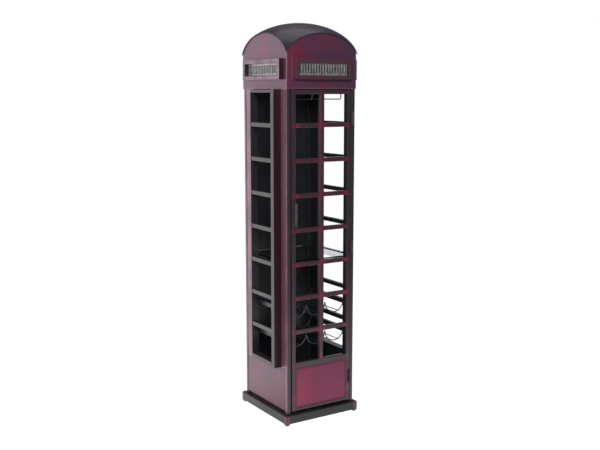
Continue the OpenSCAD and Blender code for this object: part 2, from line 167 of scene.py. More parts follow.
class BoothColours(bpy.types.PropertyGroup):
    """Colours of the finishes"""

    crimson: bpy.props.FloatVectorProperty(
        name="Crimson", description="Lacquer where the dark glaze is rubbed away",
        default=(0.30, 0.026, 0.072), subtype="COLOR")
    wine: bpy.props.FloatVectorProperty(
        name="Wine", description="Lacquer under a thin coat of glaze",
        default=(0.150, 0.034, 0.068), subtype="COLOR")
    mauve: bpy.props.FloatVectorProperty(
        name="Mauve", description="Lacquer under an even coat of glaze",
        default=(0.100, 0.044, 0.086), subtype="COLOR")
    # A very dark red for the faces of the window boxes and side signs that look to the front:
    # painted shade
    front_shade: bpy.props.FloatVectorProperty(
        name="Maroon", description="Deep lacquer of the window boxes' front faces",
        default=(0.030, 0.006, 0.011), subtype="COLOR")
    glaze: bpy.props.FloatVectorProperty(
        name="Glaze", description="The graphite glaze on frames and in corners",
        default=(0.054, 0.038, 0.049), subtype="COLOR")
    berry: bpy.props.FloatVectorProperty(
        name="Berry", description="Bright lacquer of the door's lower panel",
        default=(0.205, 0.017, 0.072), subtype="COLOR")
    # A pale pink lacquer, lightened to stand for the sheen of the light on faces turned to the
    # side: partly painted sheen. Along the header plates' edges it is a painted highlight.
    blush_and_sheen: bpy.props.FloatVectorProperty(
        name="Blush", description="Pale metallic lacquer of the posts' left faces",
        default=(0.26, 0.125, 0.175), subtype="COLOR")
    plum: bpy.props.FloatVectorProperty(
        name="Plum", description="The roof's dark lacquer",
        default=(0.030, 0.016, 0.038), subtype="COLOR")
    slate: bpy.props.FloatVectorProperty(
        name="Slate", description="The plinth's dark lacquer",
        default=(0.018, 0.019, 0.023), subtype="COLOR")
    inside: bpy.props.FloatVectorProperty(
        name="Inside", description="Black paint of the inner faces",
        default=(0.025, 0.029, 0.034), subtype="COLOR")
    silver: bpy.props.FloatVectorProperty(
        name="Silver", description="Silver paint of the sign plates",
        default=(0.50, 0.49, 0.49), subtype="COLOR")
    soot: bpy.props.FloatVectorProperty(
        name="Soot", description="Dark wash in the hollows of the sign plates",
        default=(0.045, 0.045, 0.050), subtype="COLOR")
    steel: bpy.props.FloatVectorProperty(
        name="Steel", description="Bare steel of pins and plates",
        default=(0.42, 0.41, 0.40), subtype="COLOR")
    bronze: bpy.props.FloatVectorProperty(
        name="Bronze", description="Darkened metal of the handle",
        default=(0.21, 0.155, 0.175), subtype="COLOR")
    rubber: bpy.props.FloatVectorProperty(
        name="Rubber", description="Shelf pads",
        default=(0.030, 0.031, 0.033), subtype="COLOR")
    glass: bpy.props.FloatVectorProperty(
        name="Glass", description="Tint of the glass shelf",
        default=(0.93, 0.975, 0.965), subtype="COLOR")


class BoothStudio(bpy.types.PropertyGroup):
    """Where the camera stands and how bright the studio is"""

    camera_turn: bpy.props.FloatProperty(
        name="Camera turn", description="Angle of the camera to the left of the door's normal",
        default=math.radians(32.34), subtype="ANGLE")
    camera_away: bpy.props.FloatProperty(
        name="Camera distance", description="Level distance from the cabinet's upright axis",
        default=4.040, unit="LENGTH")
    camera_height: bpy.props.FloatProperty(
        name="Camera height", description="Height of the lens above the floor",
        default=1.4805, unit="LENGTH")
    camera_pitch: bpy.props.FloatProperty(
        name="Camera pitch", description="How far the camera looks down",
        default=math.radians(8.48), subtype="ANGLE")
    camera_yaw: bpy.props.FloatProperty(
        name="Camera yaw", description="How far the camera looks to the right of the axis",
        default=math.radians(0.086), subtype="ANGLE")
    lens: bpy.props.FloatProperty(
        name="Lens", description="Focal length in millimetres on a 36 mm sensor", default=52.5)
    floor_size: bpy.props.FloatProperty(
        name="Floor size", description="Side of the square floor", default=60.0, unit="LENGTH")
    sweep_radius: bpy.props.FloatProperty(
        name="Sweep radius", description="How far round the cabinet the floor is brightly lit",
        default=2.4, unit="LENGTH")
    backdrop_glow: bpy.props.FloatProperty(
        name="Backdrop glow", description="Brightness of the white wall and floor behind",
        default=1.5)
    floor_glow: bpy.props.FloatProperty(
        name="Floor glow", description="Brightness of the floor round the cabinet",
        default=0.85)
    room_glow: bpy.props.FloatProperty(
        name="Room glow", description="Brightness of the dim room all round", default=0.06)
    key_glow: bpy.props.FloatProperty(
        name="Key glow", description="Power of the softbox in front on the left", default=95.0)
    top_glow: bpy.props.FloatProperty(
        name="Top glow", description="Power of the softbox overhead", default=16.0)


# ---------------------------------------------------------------- modelling


def deselect():
    bpy.ops.object.select_all(action="DESELECT")


def select_only(*made):
    deselect()
    for piece in made:
        piece.select_set(True)
    bpy.context.view_layer.objects.active = made[0]


def settle():
    """Moves the place, turn and size of what is selected into its mesh."""
    bpy.ops.object.transform_apply(location=True, rotation=True, scale=True)


@contextmanager
def editing(piece):
    """Edit mode on one piece, with nothing selected in it."""
    select_only(piece)
    bpy.ops.object.mode_set(mode="EDIT")
    bpy.ops.mesh.select_all(action="DESELECT")
    yield
    bpy.ops.object.mode_set(mode="OBJECT")


def pick(kind, test):
    """Selects just the faces, edges or vertices that pass a test. For use in edit mode."""
    bpy.ops.mesh.select_mode(type=kind)
    bpy.ops.mesh.select_all(action="DESELECT")
    mesh = bpy.context.edit_object.data
    shape = bmesh.from_edit_mesh(mesh)
    parts = {"FACE": shape.faces, "EDGE": shape.edges, "VERT": shape.verts}[kind]
    for part in parts:
        if test(part):
            part.select_set(True)
    bmesh.update_edit_mesh(mesh)


def pick_facing(axis, side):
    """Selects the faces that look along an axis, towards +1 or -1."""
    pick("FACE", lambda face: face.normal[axis] * side > ALIGNED)


def runs_along(edge, axis):
    run = edge.verts[1].co - edge.verts[0].co
    return abs(run[axis]) > ALIGNED * run.length


def extrude(step):
    """Extrudes what is selected by a step along x, y and z."""
    bpy.ops.mesh.extrude_region_move(TRANSFORM_OT_translate={"value": step})


def bevel(offset, segments):
    """Rounds the selected edges, or the rims of the selected faces."""
    bpy.ops.mesh.bevel(offset=offset, segments=segments, affect="EDGES")


def close_up():
    """Turns all faces of the mesh in edit mode outwards."""
    bpy.ops.mesh.select_all(action="SELECT")
    bpy.ops.mesh.normals_make_consistent(inside=False)


def named(name):
    piece = bpy.context.active_object
    piece.name = piece.data.name = name
    return piece


def block(name, lo, hi):
    """A cube stretched from its lowest corner to its highest one."""
    deselect()
    bpy.ops.mesh.primitive_cube_add(size=1, location=(lo + hi) / 2)
    piece = named(name)
    piece.scale = hi - lo
    settle()
    return piece


def rod(name, centre, radius, length, axis=Z, sides=32):
    """A round bar along an axis."""
    deselect()
    turn = {X: (0, math.pi / 2, 0), Y: (math.pi / 2, 0, 0), Z: (0, 0, 0)}[axis]
    bpy.ops.mesh.primitive_cylinder_add(
        vertices=sides, radius=radius, depth=length, location=centre, rotation=turn)
    piece = named(name)
    settle()
    return piece


def apply(piece, kind, **settings):
    """Puts a modifier on a piece and applies it."""
    select_only(piece)
    modifier = piece.modifiers.new(kind.lower(), kind)
    for key, value in settings.items():
        setattr(modifier, key, value)
    bpy.ops.object.modifier_apply(modifier=modifier.name)


def soften(piece, radius, segments=2, angle=math.radians(30)):
    """Rounds every edge of a piece that is sharper than an angle."""
    apply(piece, "BEVEL", width=radius, segments=segments, limit_method="ANGLE",
          angle_limit=angle, use_clamp_overlap=True)


def join(*made):
    """Makes one piece of several, under the first one's name."""
    select_only(*made)
    if len(made) > 1:
        bpy.ops.object.join()
    return made[0]


def join_as(name, made):
    """Makes one piece of several, under a name of its own."""
    piece = join(*made)
    piece.name = piece.data.name = name
    return piece


def copy_to(piece, name, offset):
    """A copy with its own mesh, moved by an offset."""
    twin = piece.copy()
    twin.data = piece.data.copy()
    twin.name = twin.data.name = name
    bpy.context.scene.collection.objects.link(twin)
    twin.location = offset
    select_only(twin)
    settle()
    return twin


def square_tube(name, lo, hi, axis):
    """A square tube with rounded corners, hollow and open at both ends."""
    sizes = bpy.context.scene.booth_sizes
    piece = block(name, lo, hi)
    with editing(piece):
        pick("EDGE", lambda edge: runs_along(edge, axis))
        bevel(sizes.tube_rounding, 3)
        pick("FACE", lambda face: abs(face.normal[axis]) > ALIGNED)
        bpy.ops.mesh.inset(thickness=sizes.tube_wall)
        bpy.ops.mesh.bridge_edge_loops()
    return piece


def sheet_metal(name, lo, hi):
    """A flat sheet with soft edges."""
    piece = block(name, lo, hi)
    soften(piece, bpy.context.scene.booth_sizes.sheet_rounding)
    return piece


def solids(node):
    """Lowest and highest corner of each separate solid in a frame node, from low to high."""
    shape = bmesh.new()
    shape.from_mesh(frame["nodes"][node].data)
    bmesh.ops.remove_doubles(shape, verts=shape.verts, dist=0.01 * MM)
    left = set(shape.verts)
    found = []
    while left:
        island, edge_of = set(), [left.pop()]
        while edge_of:
            vert = edge_of.pop()
            island.add(vert)
            near = {edge.other_vert(vert) for edge in vert.link_edges} & left
            left -= near
            edge_of.extend(near)
        corners = list(zip(*(vert.co for vert in island)))
        found.append((Vector(map(min, corners)), Vector(map(max, corners))))
    shape.free()
    return sorted(found, key=lambda box: (round(box[0].z, 4), box[0].x, box[0].y))


@contextmanager
def drawing(name, start, along, diameter):
    """A round wire drawn from a disc: go() and turn() carry it on."""
    deselect()
    facing = Vector(along).to_track_quat("Z", "Y").to_euler()
    bpy.ops.mesh.primitive_circle_add(
        vertices=12, radius=diameter / 2, fill_type="NGON", location=start, rotation=facing)
    piece = named(name)
    settle()
    with editing(piece):
        bpy.ops.mesh.select_mode(type="FACE")
        bpy.ops.mesh.select_all(action="SELECT")
        yield piece
        close_up()
        pick("FACE", lambda face: len(face.verts) > 4)
        bevel(0.3 * diameter, 2)


def go(x=0.0, y=0.0, z=0.0):
    """Carries a wire straight on."""
    extrude((x, y, z))


def turn(centre, axis, angle, steps=8):
    """Carries a wire round a bend. The operator counts its angle the other way round."""
    bpy.ops.mesh.spin(steps=steps, angle=-angle, center=centre, axis=axis)


def finish_piece(piece, node, finish):
    """Shades a piece, gives it its finish by name, and lets it stand for its frame node."""
    select_only(piece)
    bpy.ops.object.shade_smooth_by_angle(angle=SMOOTH_ANGLE)
    apply(piece, "WEIGHTED_NORMAL", keep_sharp=True)
    piece.data.materials.clear()
    piece.data.materials.append(bpy.data.materials[finish])
    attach(piece, frame["nodes"][node]["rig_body"])
    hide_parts(node)


# ---------------------------------------------------------------- node helpers


def put(tree, kind, sockets=None, **settings):
    """Adds a node: values go into its sockets, and sockets are linked to them."""
    made = tree.nodes.new(kind)
    for key, value in settings.items():
        setattr(made, key, value)
    for key, value in (sockets or {}).items():
        if isinstance(value, bpy.types.NodeSocket):
            tree.links.new(value, made.inputs[key])
        else:
            made.inputs[key].default_value = value
    return made


def maths(tree, operation, first, second=0.0, third=0.0):
    sockets = {0: first, 1: second}
    if operation == "MULTIPLY_ADD":
        sockets[2] = third
    return put(tree, "ShaderNodeMath", sockets, operation=operation).outputs[0]


def ramp(tree, value, low, high, start=0.0, end=1.0):
    """Maps a value from low..high to start..end, smoothly and clamped."""
    node = put(tree, "ShaderNodeMapRange", {
        "Value": value, "From Min": low, "From Max": high, "To Min": start, "To Max": end},
        interpolation_type="SMOOTHSTEP")
    return node.outputs["Result"]


def blend_colours(tree, mask, first, second):
    node = put(tree, "ShaderNodeMix", data_type="RGBA")
    for socket, value in ((0, mask), (6, first), (7, second)):
        if isinstance(value, bpy.types.NodeSocket):
            tree.links.new(value, node.inputs[socket])
        elif socket:
            node.inputs[socket].default_value = (*value, 1)
        else:
            node.inputs[socket].default_value = value
    return node.outputs[2]


def noise(tree, place, scale, detail=3.0, roughness=0.55):
    node = put(tree, "ShaderNodeTexNoise", {
        "Vector": place, "Scale": scale, "Detail": detail, "Roughness": roughness})
    return node.outputs["Fac"]


def object_place(tree):
    """Object coordinates, in metres from the cabinet's origin on the floor."""
    return put(tree, "ShaderNodeTexCoord").outputs["Object"]


def vector_maths(tree, operation, *values, result=0):
    sockets = dict(enumerate(values))
    return put(tree, "ShaderNodeVectorMath", sockets, operation=operation).outputs[result]


def new_group(name, inputs, outputs):
    """A shader node group with float or vector inputs, given with defaults, and float outputs."""
    tree = bpy.data.node_groups.new(name, "ShaderNodeTree")
    for label, value in inputs.items():
        kind = "NodeSocketVector" if isinstance(value, tuple) else "NodeSocketFloat"
        socket = tree.interface.new_socket(label, in_out="INPUT", socket_type=kind)
        socket.default_value = value
    for label in outputs:
        tree.interface.new_socket(label, in_out="OUTPUT", socket_type="NodeSocketFloat")
    given = tree.nodes.new("NodeGroupInput").outputs
    taken = tree.nodes.new("NodeGroupOutput").inputs
    return tree, given, taken


def use_group(tree, name, **values):
    node = put(tree, "ShaderNodeGroup", node_tree=bpy.data.node_groups[name])
    for key, value in values.items():
        node.inputs[key.replace("_", " ").capitalize()].default_value = value
    return node.outputs


# ---------------------------------------------------------------- shared effects


def make_cloud_group():
    """Cloudy unevenness of a glaze that was put on with a spray and wiped by hand."""
    tree, given, taken = new_group(
        "Glaze clouds", {"Size": 0.12, "Streak": 0.15, "Low": 0.35, "High": 0.65}, ["Mask"])
    place = object_place(tree)
    scale = maths(tree, "DIVIDE", 1.0, given["Size"])
    broad = noise(tree, place, scale, 4.0)
    drawn_out = (9, 9, 0.8)
    wiped = noise(tree, vector_maths(tree, "MULTIPLY", place, drawn_out), scale, 3.0)
    mixed = maths(tree, "MULTIPLY_ADD", maths(tree, "SUBTRACT", wiped, broad), given["Streak"],
                  broad)
    tree.links.new(ramp(tree, mixed, given["Low"], given["High"]), taken["Mask"])


def make_edge_group():
    """Closeness to the rim of a box: for glaze that was left in along a panel's edges, for a
    painted highlight along the header plates' edges, and for the glass's tinted edges.
    """
    tree, given, taken = new_group(
        "Rim closeness", {"Centre": (0, 0, 0), "Half": (1, 1, 1), "Fade": 0.03, "Ragged": 0.012},
        ["Mask"])
    place = object_place(tree)
    away = vector_maths(tree, "SUBTRACT", place, given["Centre"])
    size = vector_maths(tree, "ABSOLUTE", away)
    room = vector_maths(tree, "SUBTRACT", given["Half"], size)
    parts = put(tree, "ShaderNodeSeparateXYZ", {0: room}).outputs
    near = maths(tree, "MINIMUM", maths(tree, "MINIMUM", parts["X"], parts["Y"]), parts["Z"])
    wander = maths(tree, "SUBTRACT", noise(tree, place, 22.0, 4.0), 0.5)
    edge = maths(tree, "MULTIPLY_ADD", wander, given["Ragged"], near)
    tree.links.new(ramp(tree, edge, given["Fade"], 0.0), taken["Mask"])


def make_rub_group():
    """Rubbed patches that come back at even distances, where bars meet an upright."""
    tree, given, taken = new_group(
        "Joint rub", {"Along": (0, 0, 1), "First": 0.424, "Pitch": 0.154, "Reach": 0.02},
        ["Mask"])
    place = object_place(tree)
    way = vector_maths(tree, "DOT_PRODUCT", place, given["Along"], result="Value")
    turns = maths(tree, "DIVIDE", maths(tree, "SUBTRACT", way, given["First"]), given["Pitch"])
    nearest = maths(tree, "ABSOLUTE", maths(tree, "SUBTRACT", turns, maths(tree, "ROUND", turns)))
    distance = maths(tree, "MULTIPLY", nearest, given["Pitch"])
    wander = maths(tree, "SUBTRACT", noise(tree, place, 60.0, 3.0), 0.5)
    edge = maths(tree, "MULTIPLY_ADD", wander, given["Reach"], distance)
    patch = ramp(tree, edge, given["Reach"], maths(tree, "MULTIPLY", given["Reach"], 0.2))
    uneven = ramp(tree, noise(tree, place, 7.0, 2.0), 0.38, 0.60, 0.25, 1.0)
    tree.links.new(maths(tree, "MULTIPLY", patch, uneven), taken["Mask"])


def make_patch_group():
    """One soft patch of colour, round a centre; on the header plates it is a painted highlight.
    """
    tree, given, taken = new_group(
        "Soft patch", {"Centre": (0, 0, 0), "Reach": (0.1, 0.1, 0.1)}, ["Mask"])
    place = object_place(tree)
    away = vector_maths(tree, "SUBTRACT", place, given["Centre"])
    scaled = vector_maths(tree, "DIVIDE", away, given["Reach"])
    far = vector_maths(tree, "LENGTH", scaled, result="Value")
    wander = maths(tree, "SUBTRACT", noise(tree, place, 9.0, 4.0), 0.5)
    tree.links.new(ramp(tree, maths(tree, "MULTIPLY_ADD", wander, 0.5, far), 1.2, 0.0),
                   taken["Mask"])


def make_shadow_line_group():
    """A thin line all round at one height, for painted shadow."""
    tree, given, taken = new_group("Level shadow line", {"Height": 0.25, "Half": 0.002}, ["Mask"])
    place = object_place(tree)
    height = put(tree, "ShaderNodeSeparateXYZ", {0: place}).outputs["Z"]
    away = maths(tree, "ABSOLUTE", maths(tree, "SUBTRACT", height, given["Height"]))
    tree.links.new(ramp(tree, away, maths(tree, "MULTIPLY", given["Half"], 1.5),
                        maths(tree, "MULTIPLY", given["Half"], 0.8)), taken["Mask"])


def make_face_group():
    """Which faces look into the cabinet or into its openings, and which to the front, where a
    darker colour is painted shade.
    """
    tree, _, taken = new_group("Face turn", {}, ["Inward", "Front", "Level"])
    coordinates = put(tree, "ShaderNodeTexCoord").outputs
    facing = put(tree, "ShaderNodeSeparateXYZ", {0: coordinates["Normal"]}).outputs
    place = put(tree, "ShaderNodeSeparateXYZ", {0: coordinates["Object"]}).outputs
    inward = [maths(tree, "MULTIPLY", facing[axis],
                    maths(tree, "SIGN", place[axis])) for axis in ("X", "Y")]
    most = maths(tree, "MINIMUM", *inward)
    tree.links.new(ramp(tree, most, -0.5, -0.8), taken["Inward"])
    tree.links.new(ramp(tree, facing["Y"], -0.6, -0.85), taken["Front"])
    tree.links.new(ramp(tree, maths(tree, "ABSOLUTE", facing["Z"]), 0.6, 0.85), taken["Level"])


def make_grain_group():
    """Fine skin of the lacquer: orange peel and metal flake."""
    tree, given, taken = new_group("Lacquer skin", {"Peel": 420.0, "Flake": 2600.0},
                                   ["Height", "Flakes"])
    place = object_place(tree)
    peel = noise(tree, place, given["Peel"], 2.0)
    flakes = put(tree, "ShaderNodeTexVoronoi", {"Vector": place, "Scale": given["Flake"]})
    tree.links.new(peel, taken["Height"])
    tree.links.new(flakes.outputs["Distance"], taken["Flakes"])


def make_dust_group():
    """Faint dust that settles on faces that look up."""
    tree, given, taken = new_group("Settled dust", {"Amount": 0.1}, ["Mask"])
    up = put(tree, "ShaderNodeSeparateXYZ",
             {0: put(tree, "ShaderNodeNewGeometry").outputs["Normal"]}).outputs["Z"]
    place = object_place(tree)
    patches = ramp(tree, noise(tree, place, 35.0, 4.0), 0.35, 0.75)
    lying = maths(tree, "MULTIPLY", ramp(tree, up, 0.6, 1.0), patches)
    tree.links.new(maths(tree, "MULTIPLY", lying, given["Amount"]), taken["Mask"])


def make_shared_effects():
    make_cloud_group()
    make_edge_group()
    make_rub_group()
    make_patch_group()
    make_shadow_line_group()
    make_face_group()
    make_grain_group()
    make_dust_group()


# ---------------------------------------------------------------- materials


def new_material(name):
    material = bpy.data.materials.new(name)
    material.use_nodes = True
    tree = material.node_tree
    return material, tree, tree.nodes["Principled BSDF"]


def lacquer_skin(tree, shader, low, high, depth=0.02 * MM):
    """Roughness that wavers with the flakes, and a fine orange peel."""
    skin = use_group(tree, "Lacquer skin")
    roughness = ramp(tree, skin["Flakes"], 0.0, 0.8, low, high)
    tree.links.new(roughness, shader.inputs["Roughness"])
    bump = put(tree, "ShaderNodeBump", {"Height": skin["Height"], "Distance": depth,
                                        "Strength": 0.6})
    tree.links.new(bump.outputs[0], shader.inputs["Normal"])


def lacquer(name, bright, deep, clouds=(0.12, 0.35, 0.65), rim=None, patch=None, rub=None,
            shadow_lines=None, front=None, level=None, metallic=0.3, polished=False):
    """Metal lacquer in two cloudy depths, black on the faces that look inwards.

    clouds: size of the clouds, and where in the noise they begin and end
    rim: box, width and colour blended in along the edges: glaze left in on the panels, a painted
    highlight on the header plates
    patch: centre, reach, colour and strength of a soft patch of colour; on the header plates, a
    painted highlight
    rub: direction, first place, pitch, reach, strength and colour of rubbed joints
    shadow_lines: heights, half width and colour of dark level lines of painted shadow
    front, level: colours of the faces that look to the front, and up or down; the front colour is
    painted shade
    polished: whether the faces that look up are rubbed smooth
    """
    material, tree, shader = new_material(name)
    size, low, high = clouds
    cloudy = use_group(tree, "Glaze clouds", size=size, low=low, high=high)["Mask"]
    colour = blend_colours(tree, cloudy, deep, bright)
    # On the header plates the patch colour is a painted highlight
    if patch:
        centre, reach, patch_colour, strength = patch
        mask = use_group(tree, "Soft patch", centre=centre, reach=reach)["Mask"]
        colour = blend_colours(tree, maths(tree, "MULTIPLY", mask, strength), colour, patch_colour)
    # The rim colour is glaze left in on the panels and a painted highlight on the header plates
    if rim:
        (lo, hi), fade, glaze = rim
        half = [(high_side - low_side) / 2 for low_side, high_side in zip(lo, hi)]
        half = [1.0 if reach < 2 * fade else reach for reach in half]
        mask = use_group(tree, "Rim closeness", centre=(lo + hi) / 2, half=half, fade=fade,
                         ragged=0.4 * fade)["Mask"]
        colour = blend_colours(tree, mask, colour, glaze)
    # Thin dark level lines: painted shadow
    if shadow_lines:
        heights, half_width, dark = shadow_lines
        for height in heights:
            line = use_group(tree, "Level shadow line", height=height, half=half_width)["Mask"]
            colour = blend_colours(tree, line, colour, dark)
    turned = use_group(tree, "Face turn")
    # Faces that look to the front take a darker colour: painted shade
    if front:
        colour = blend_colours(tree, turned["Front"], colour, front)
    if rub:
        along, first, pitch, reach, strength, bare = rub
        mask = use_group(tree, "Joint rub", along=along, first=first, pitch=pitch,
                         reach=reach)["Mask"]
        colour = blend_colours(tree, maths(tree, "MULTIPLY", mask, strength), colour, bare)
    if level:
        colour = blend_colours(tree, turned["Level"], colour, level)
    colour = blend_colours(tree, turned["Inward"], colour,
                           tuple(bpy.context.scene.booth_colours.inside))
    dust_amount, dust_colour, glossy, satin = 0.06, (0.25, 0.23, 0.24), 0.30, 0.42
    dust = use_group(tree, "Settled dust", amount=dust_amount)["Mask"]
    colour = blend_colours(tree, dust, colour, dust_colour)
    tree.links.new(colour, shader.inputs["Base Color"])
    lacquer_skin(tree, shader, glossy, satin)
    if polished:
        rough, rubbed = shader.inputs["Roughness"].links[0].from_socket, 0.08
        smooth = put(tree, "ShaderNodeMix", {0: turned["Level"], 2: rough, 3: rubbed}).outputs[0]
        tree.links.new(smooth, shader.inputs["Roughness"])
    shader.inputs["Metallic"].default_value = metallic
    shader.inputs["Coat Weight"].default_value = 0.3
    shader.inputs["Coat Roughness"].default_value = 0.2
    return material


def painted(name, base, worn, low, high, size=0.05, metallic=0.0, coat=0.1):
    """Plain paint with faint cloudy wear."""
    material, tree, shader = new_material(name)
    clouds = use_group(tree, "Glaze clouds", size=size)["Mask"]
    mixed = blend_colours(tree, clouds, base, worn)
    dust_amount, dust_colour = 0.10, (0.30, 0.28, 0.27)
    dust = use_group(tree, "Settled dust", amount=dust_amount)["Mask"]
    dusty = blend_colours(tree, dust, mixed, dust_colour)
    tree.links.new(dusty, shader.inputs["Base Color"])
    lacquer_skin(tree, shader, low, high)
    shader.inputs["Metallic"].default_value = metallic
    shader.inputs["Coat Weight"].default_value = coat
    return material


def silver_plate(name, face_box, axis, side):
    """Silver paint on the relief, with a dark wash in the hollows."""
    colours = bpy.context.scene.booth_colours
    rise = bpy.context.scene.booth_sizes.rib_rise
    material, tree, shader = new_material(name)
    lo, hi = face_box
    face = hi[axis] if side > 0 else lo[axis]
    place = object_place(tree)
    depth = put(tree, "ShaderNodeSeparateXYZ", {0: place}).outputs["XYZ"[axis]]
    above = maths(tree, "MULTIPLY", maths(tree, "SUBTRACT", depth, face), side)
    raised = ramp(tree, above, 0.25 * rise, 0.85 * rise)
    clouds = use_group(tree, "Glaze clouds", size=0.02, low=0.3, high=0.6)["Mask"]
    plain = blend_colours(tree, clouds, [0.55 * part for part in colours.silver], colours.silver)
    washed = blend_colours(tree, raised, plain, colours.soot)
    tree.links.new(washed, shader.inputs["Base Color"])
    lacquer_skin(tree, shader, 0.36, 0.5, 0.05 * MM)
    shader.inputs["Metallic"].default_value = 0.55
    return material


def shelf_glass(name):
    """Clear float glass, greener in its edges."""
    colours = bpy.context.scene.booth_colours
    material, tree, shader = new_material(name)
    smear = use_group(tree, "Glaze clouds", size=0.05)["Mask"]
    tree.links.new(ramp(tree, smear, 0.0, 1.0, 0.0, 0.03), shader.inputs["Roughness"])
    edge = [0.72 * part for part in colours.glass]
    lo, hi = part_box("glass_shelf")
    half = (hi - lo) / 2
    half.z = 1.0
    rim = use_group(tree, "Rim closeness", centre=(lo + hi) / 2, half=half, fade=1.5 * MM,
                    ragged=0.0)["Mask"]
    tinted = blend_colours(tree, rim, colours.glass, (edge[0], edge[1] + 0.12, edge[2] + 0.06))
    tree.links.new(tinted, shader.inputs["Base Color"])
    shader.inputs["Transmission Weight"].default_value = 1.0
    shader.inputs["IOR"].default_value = 1.5
    return material


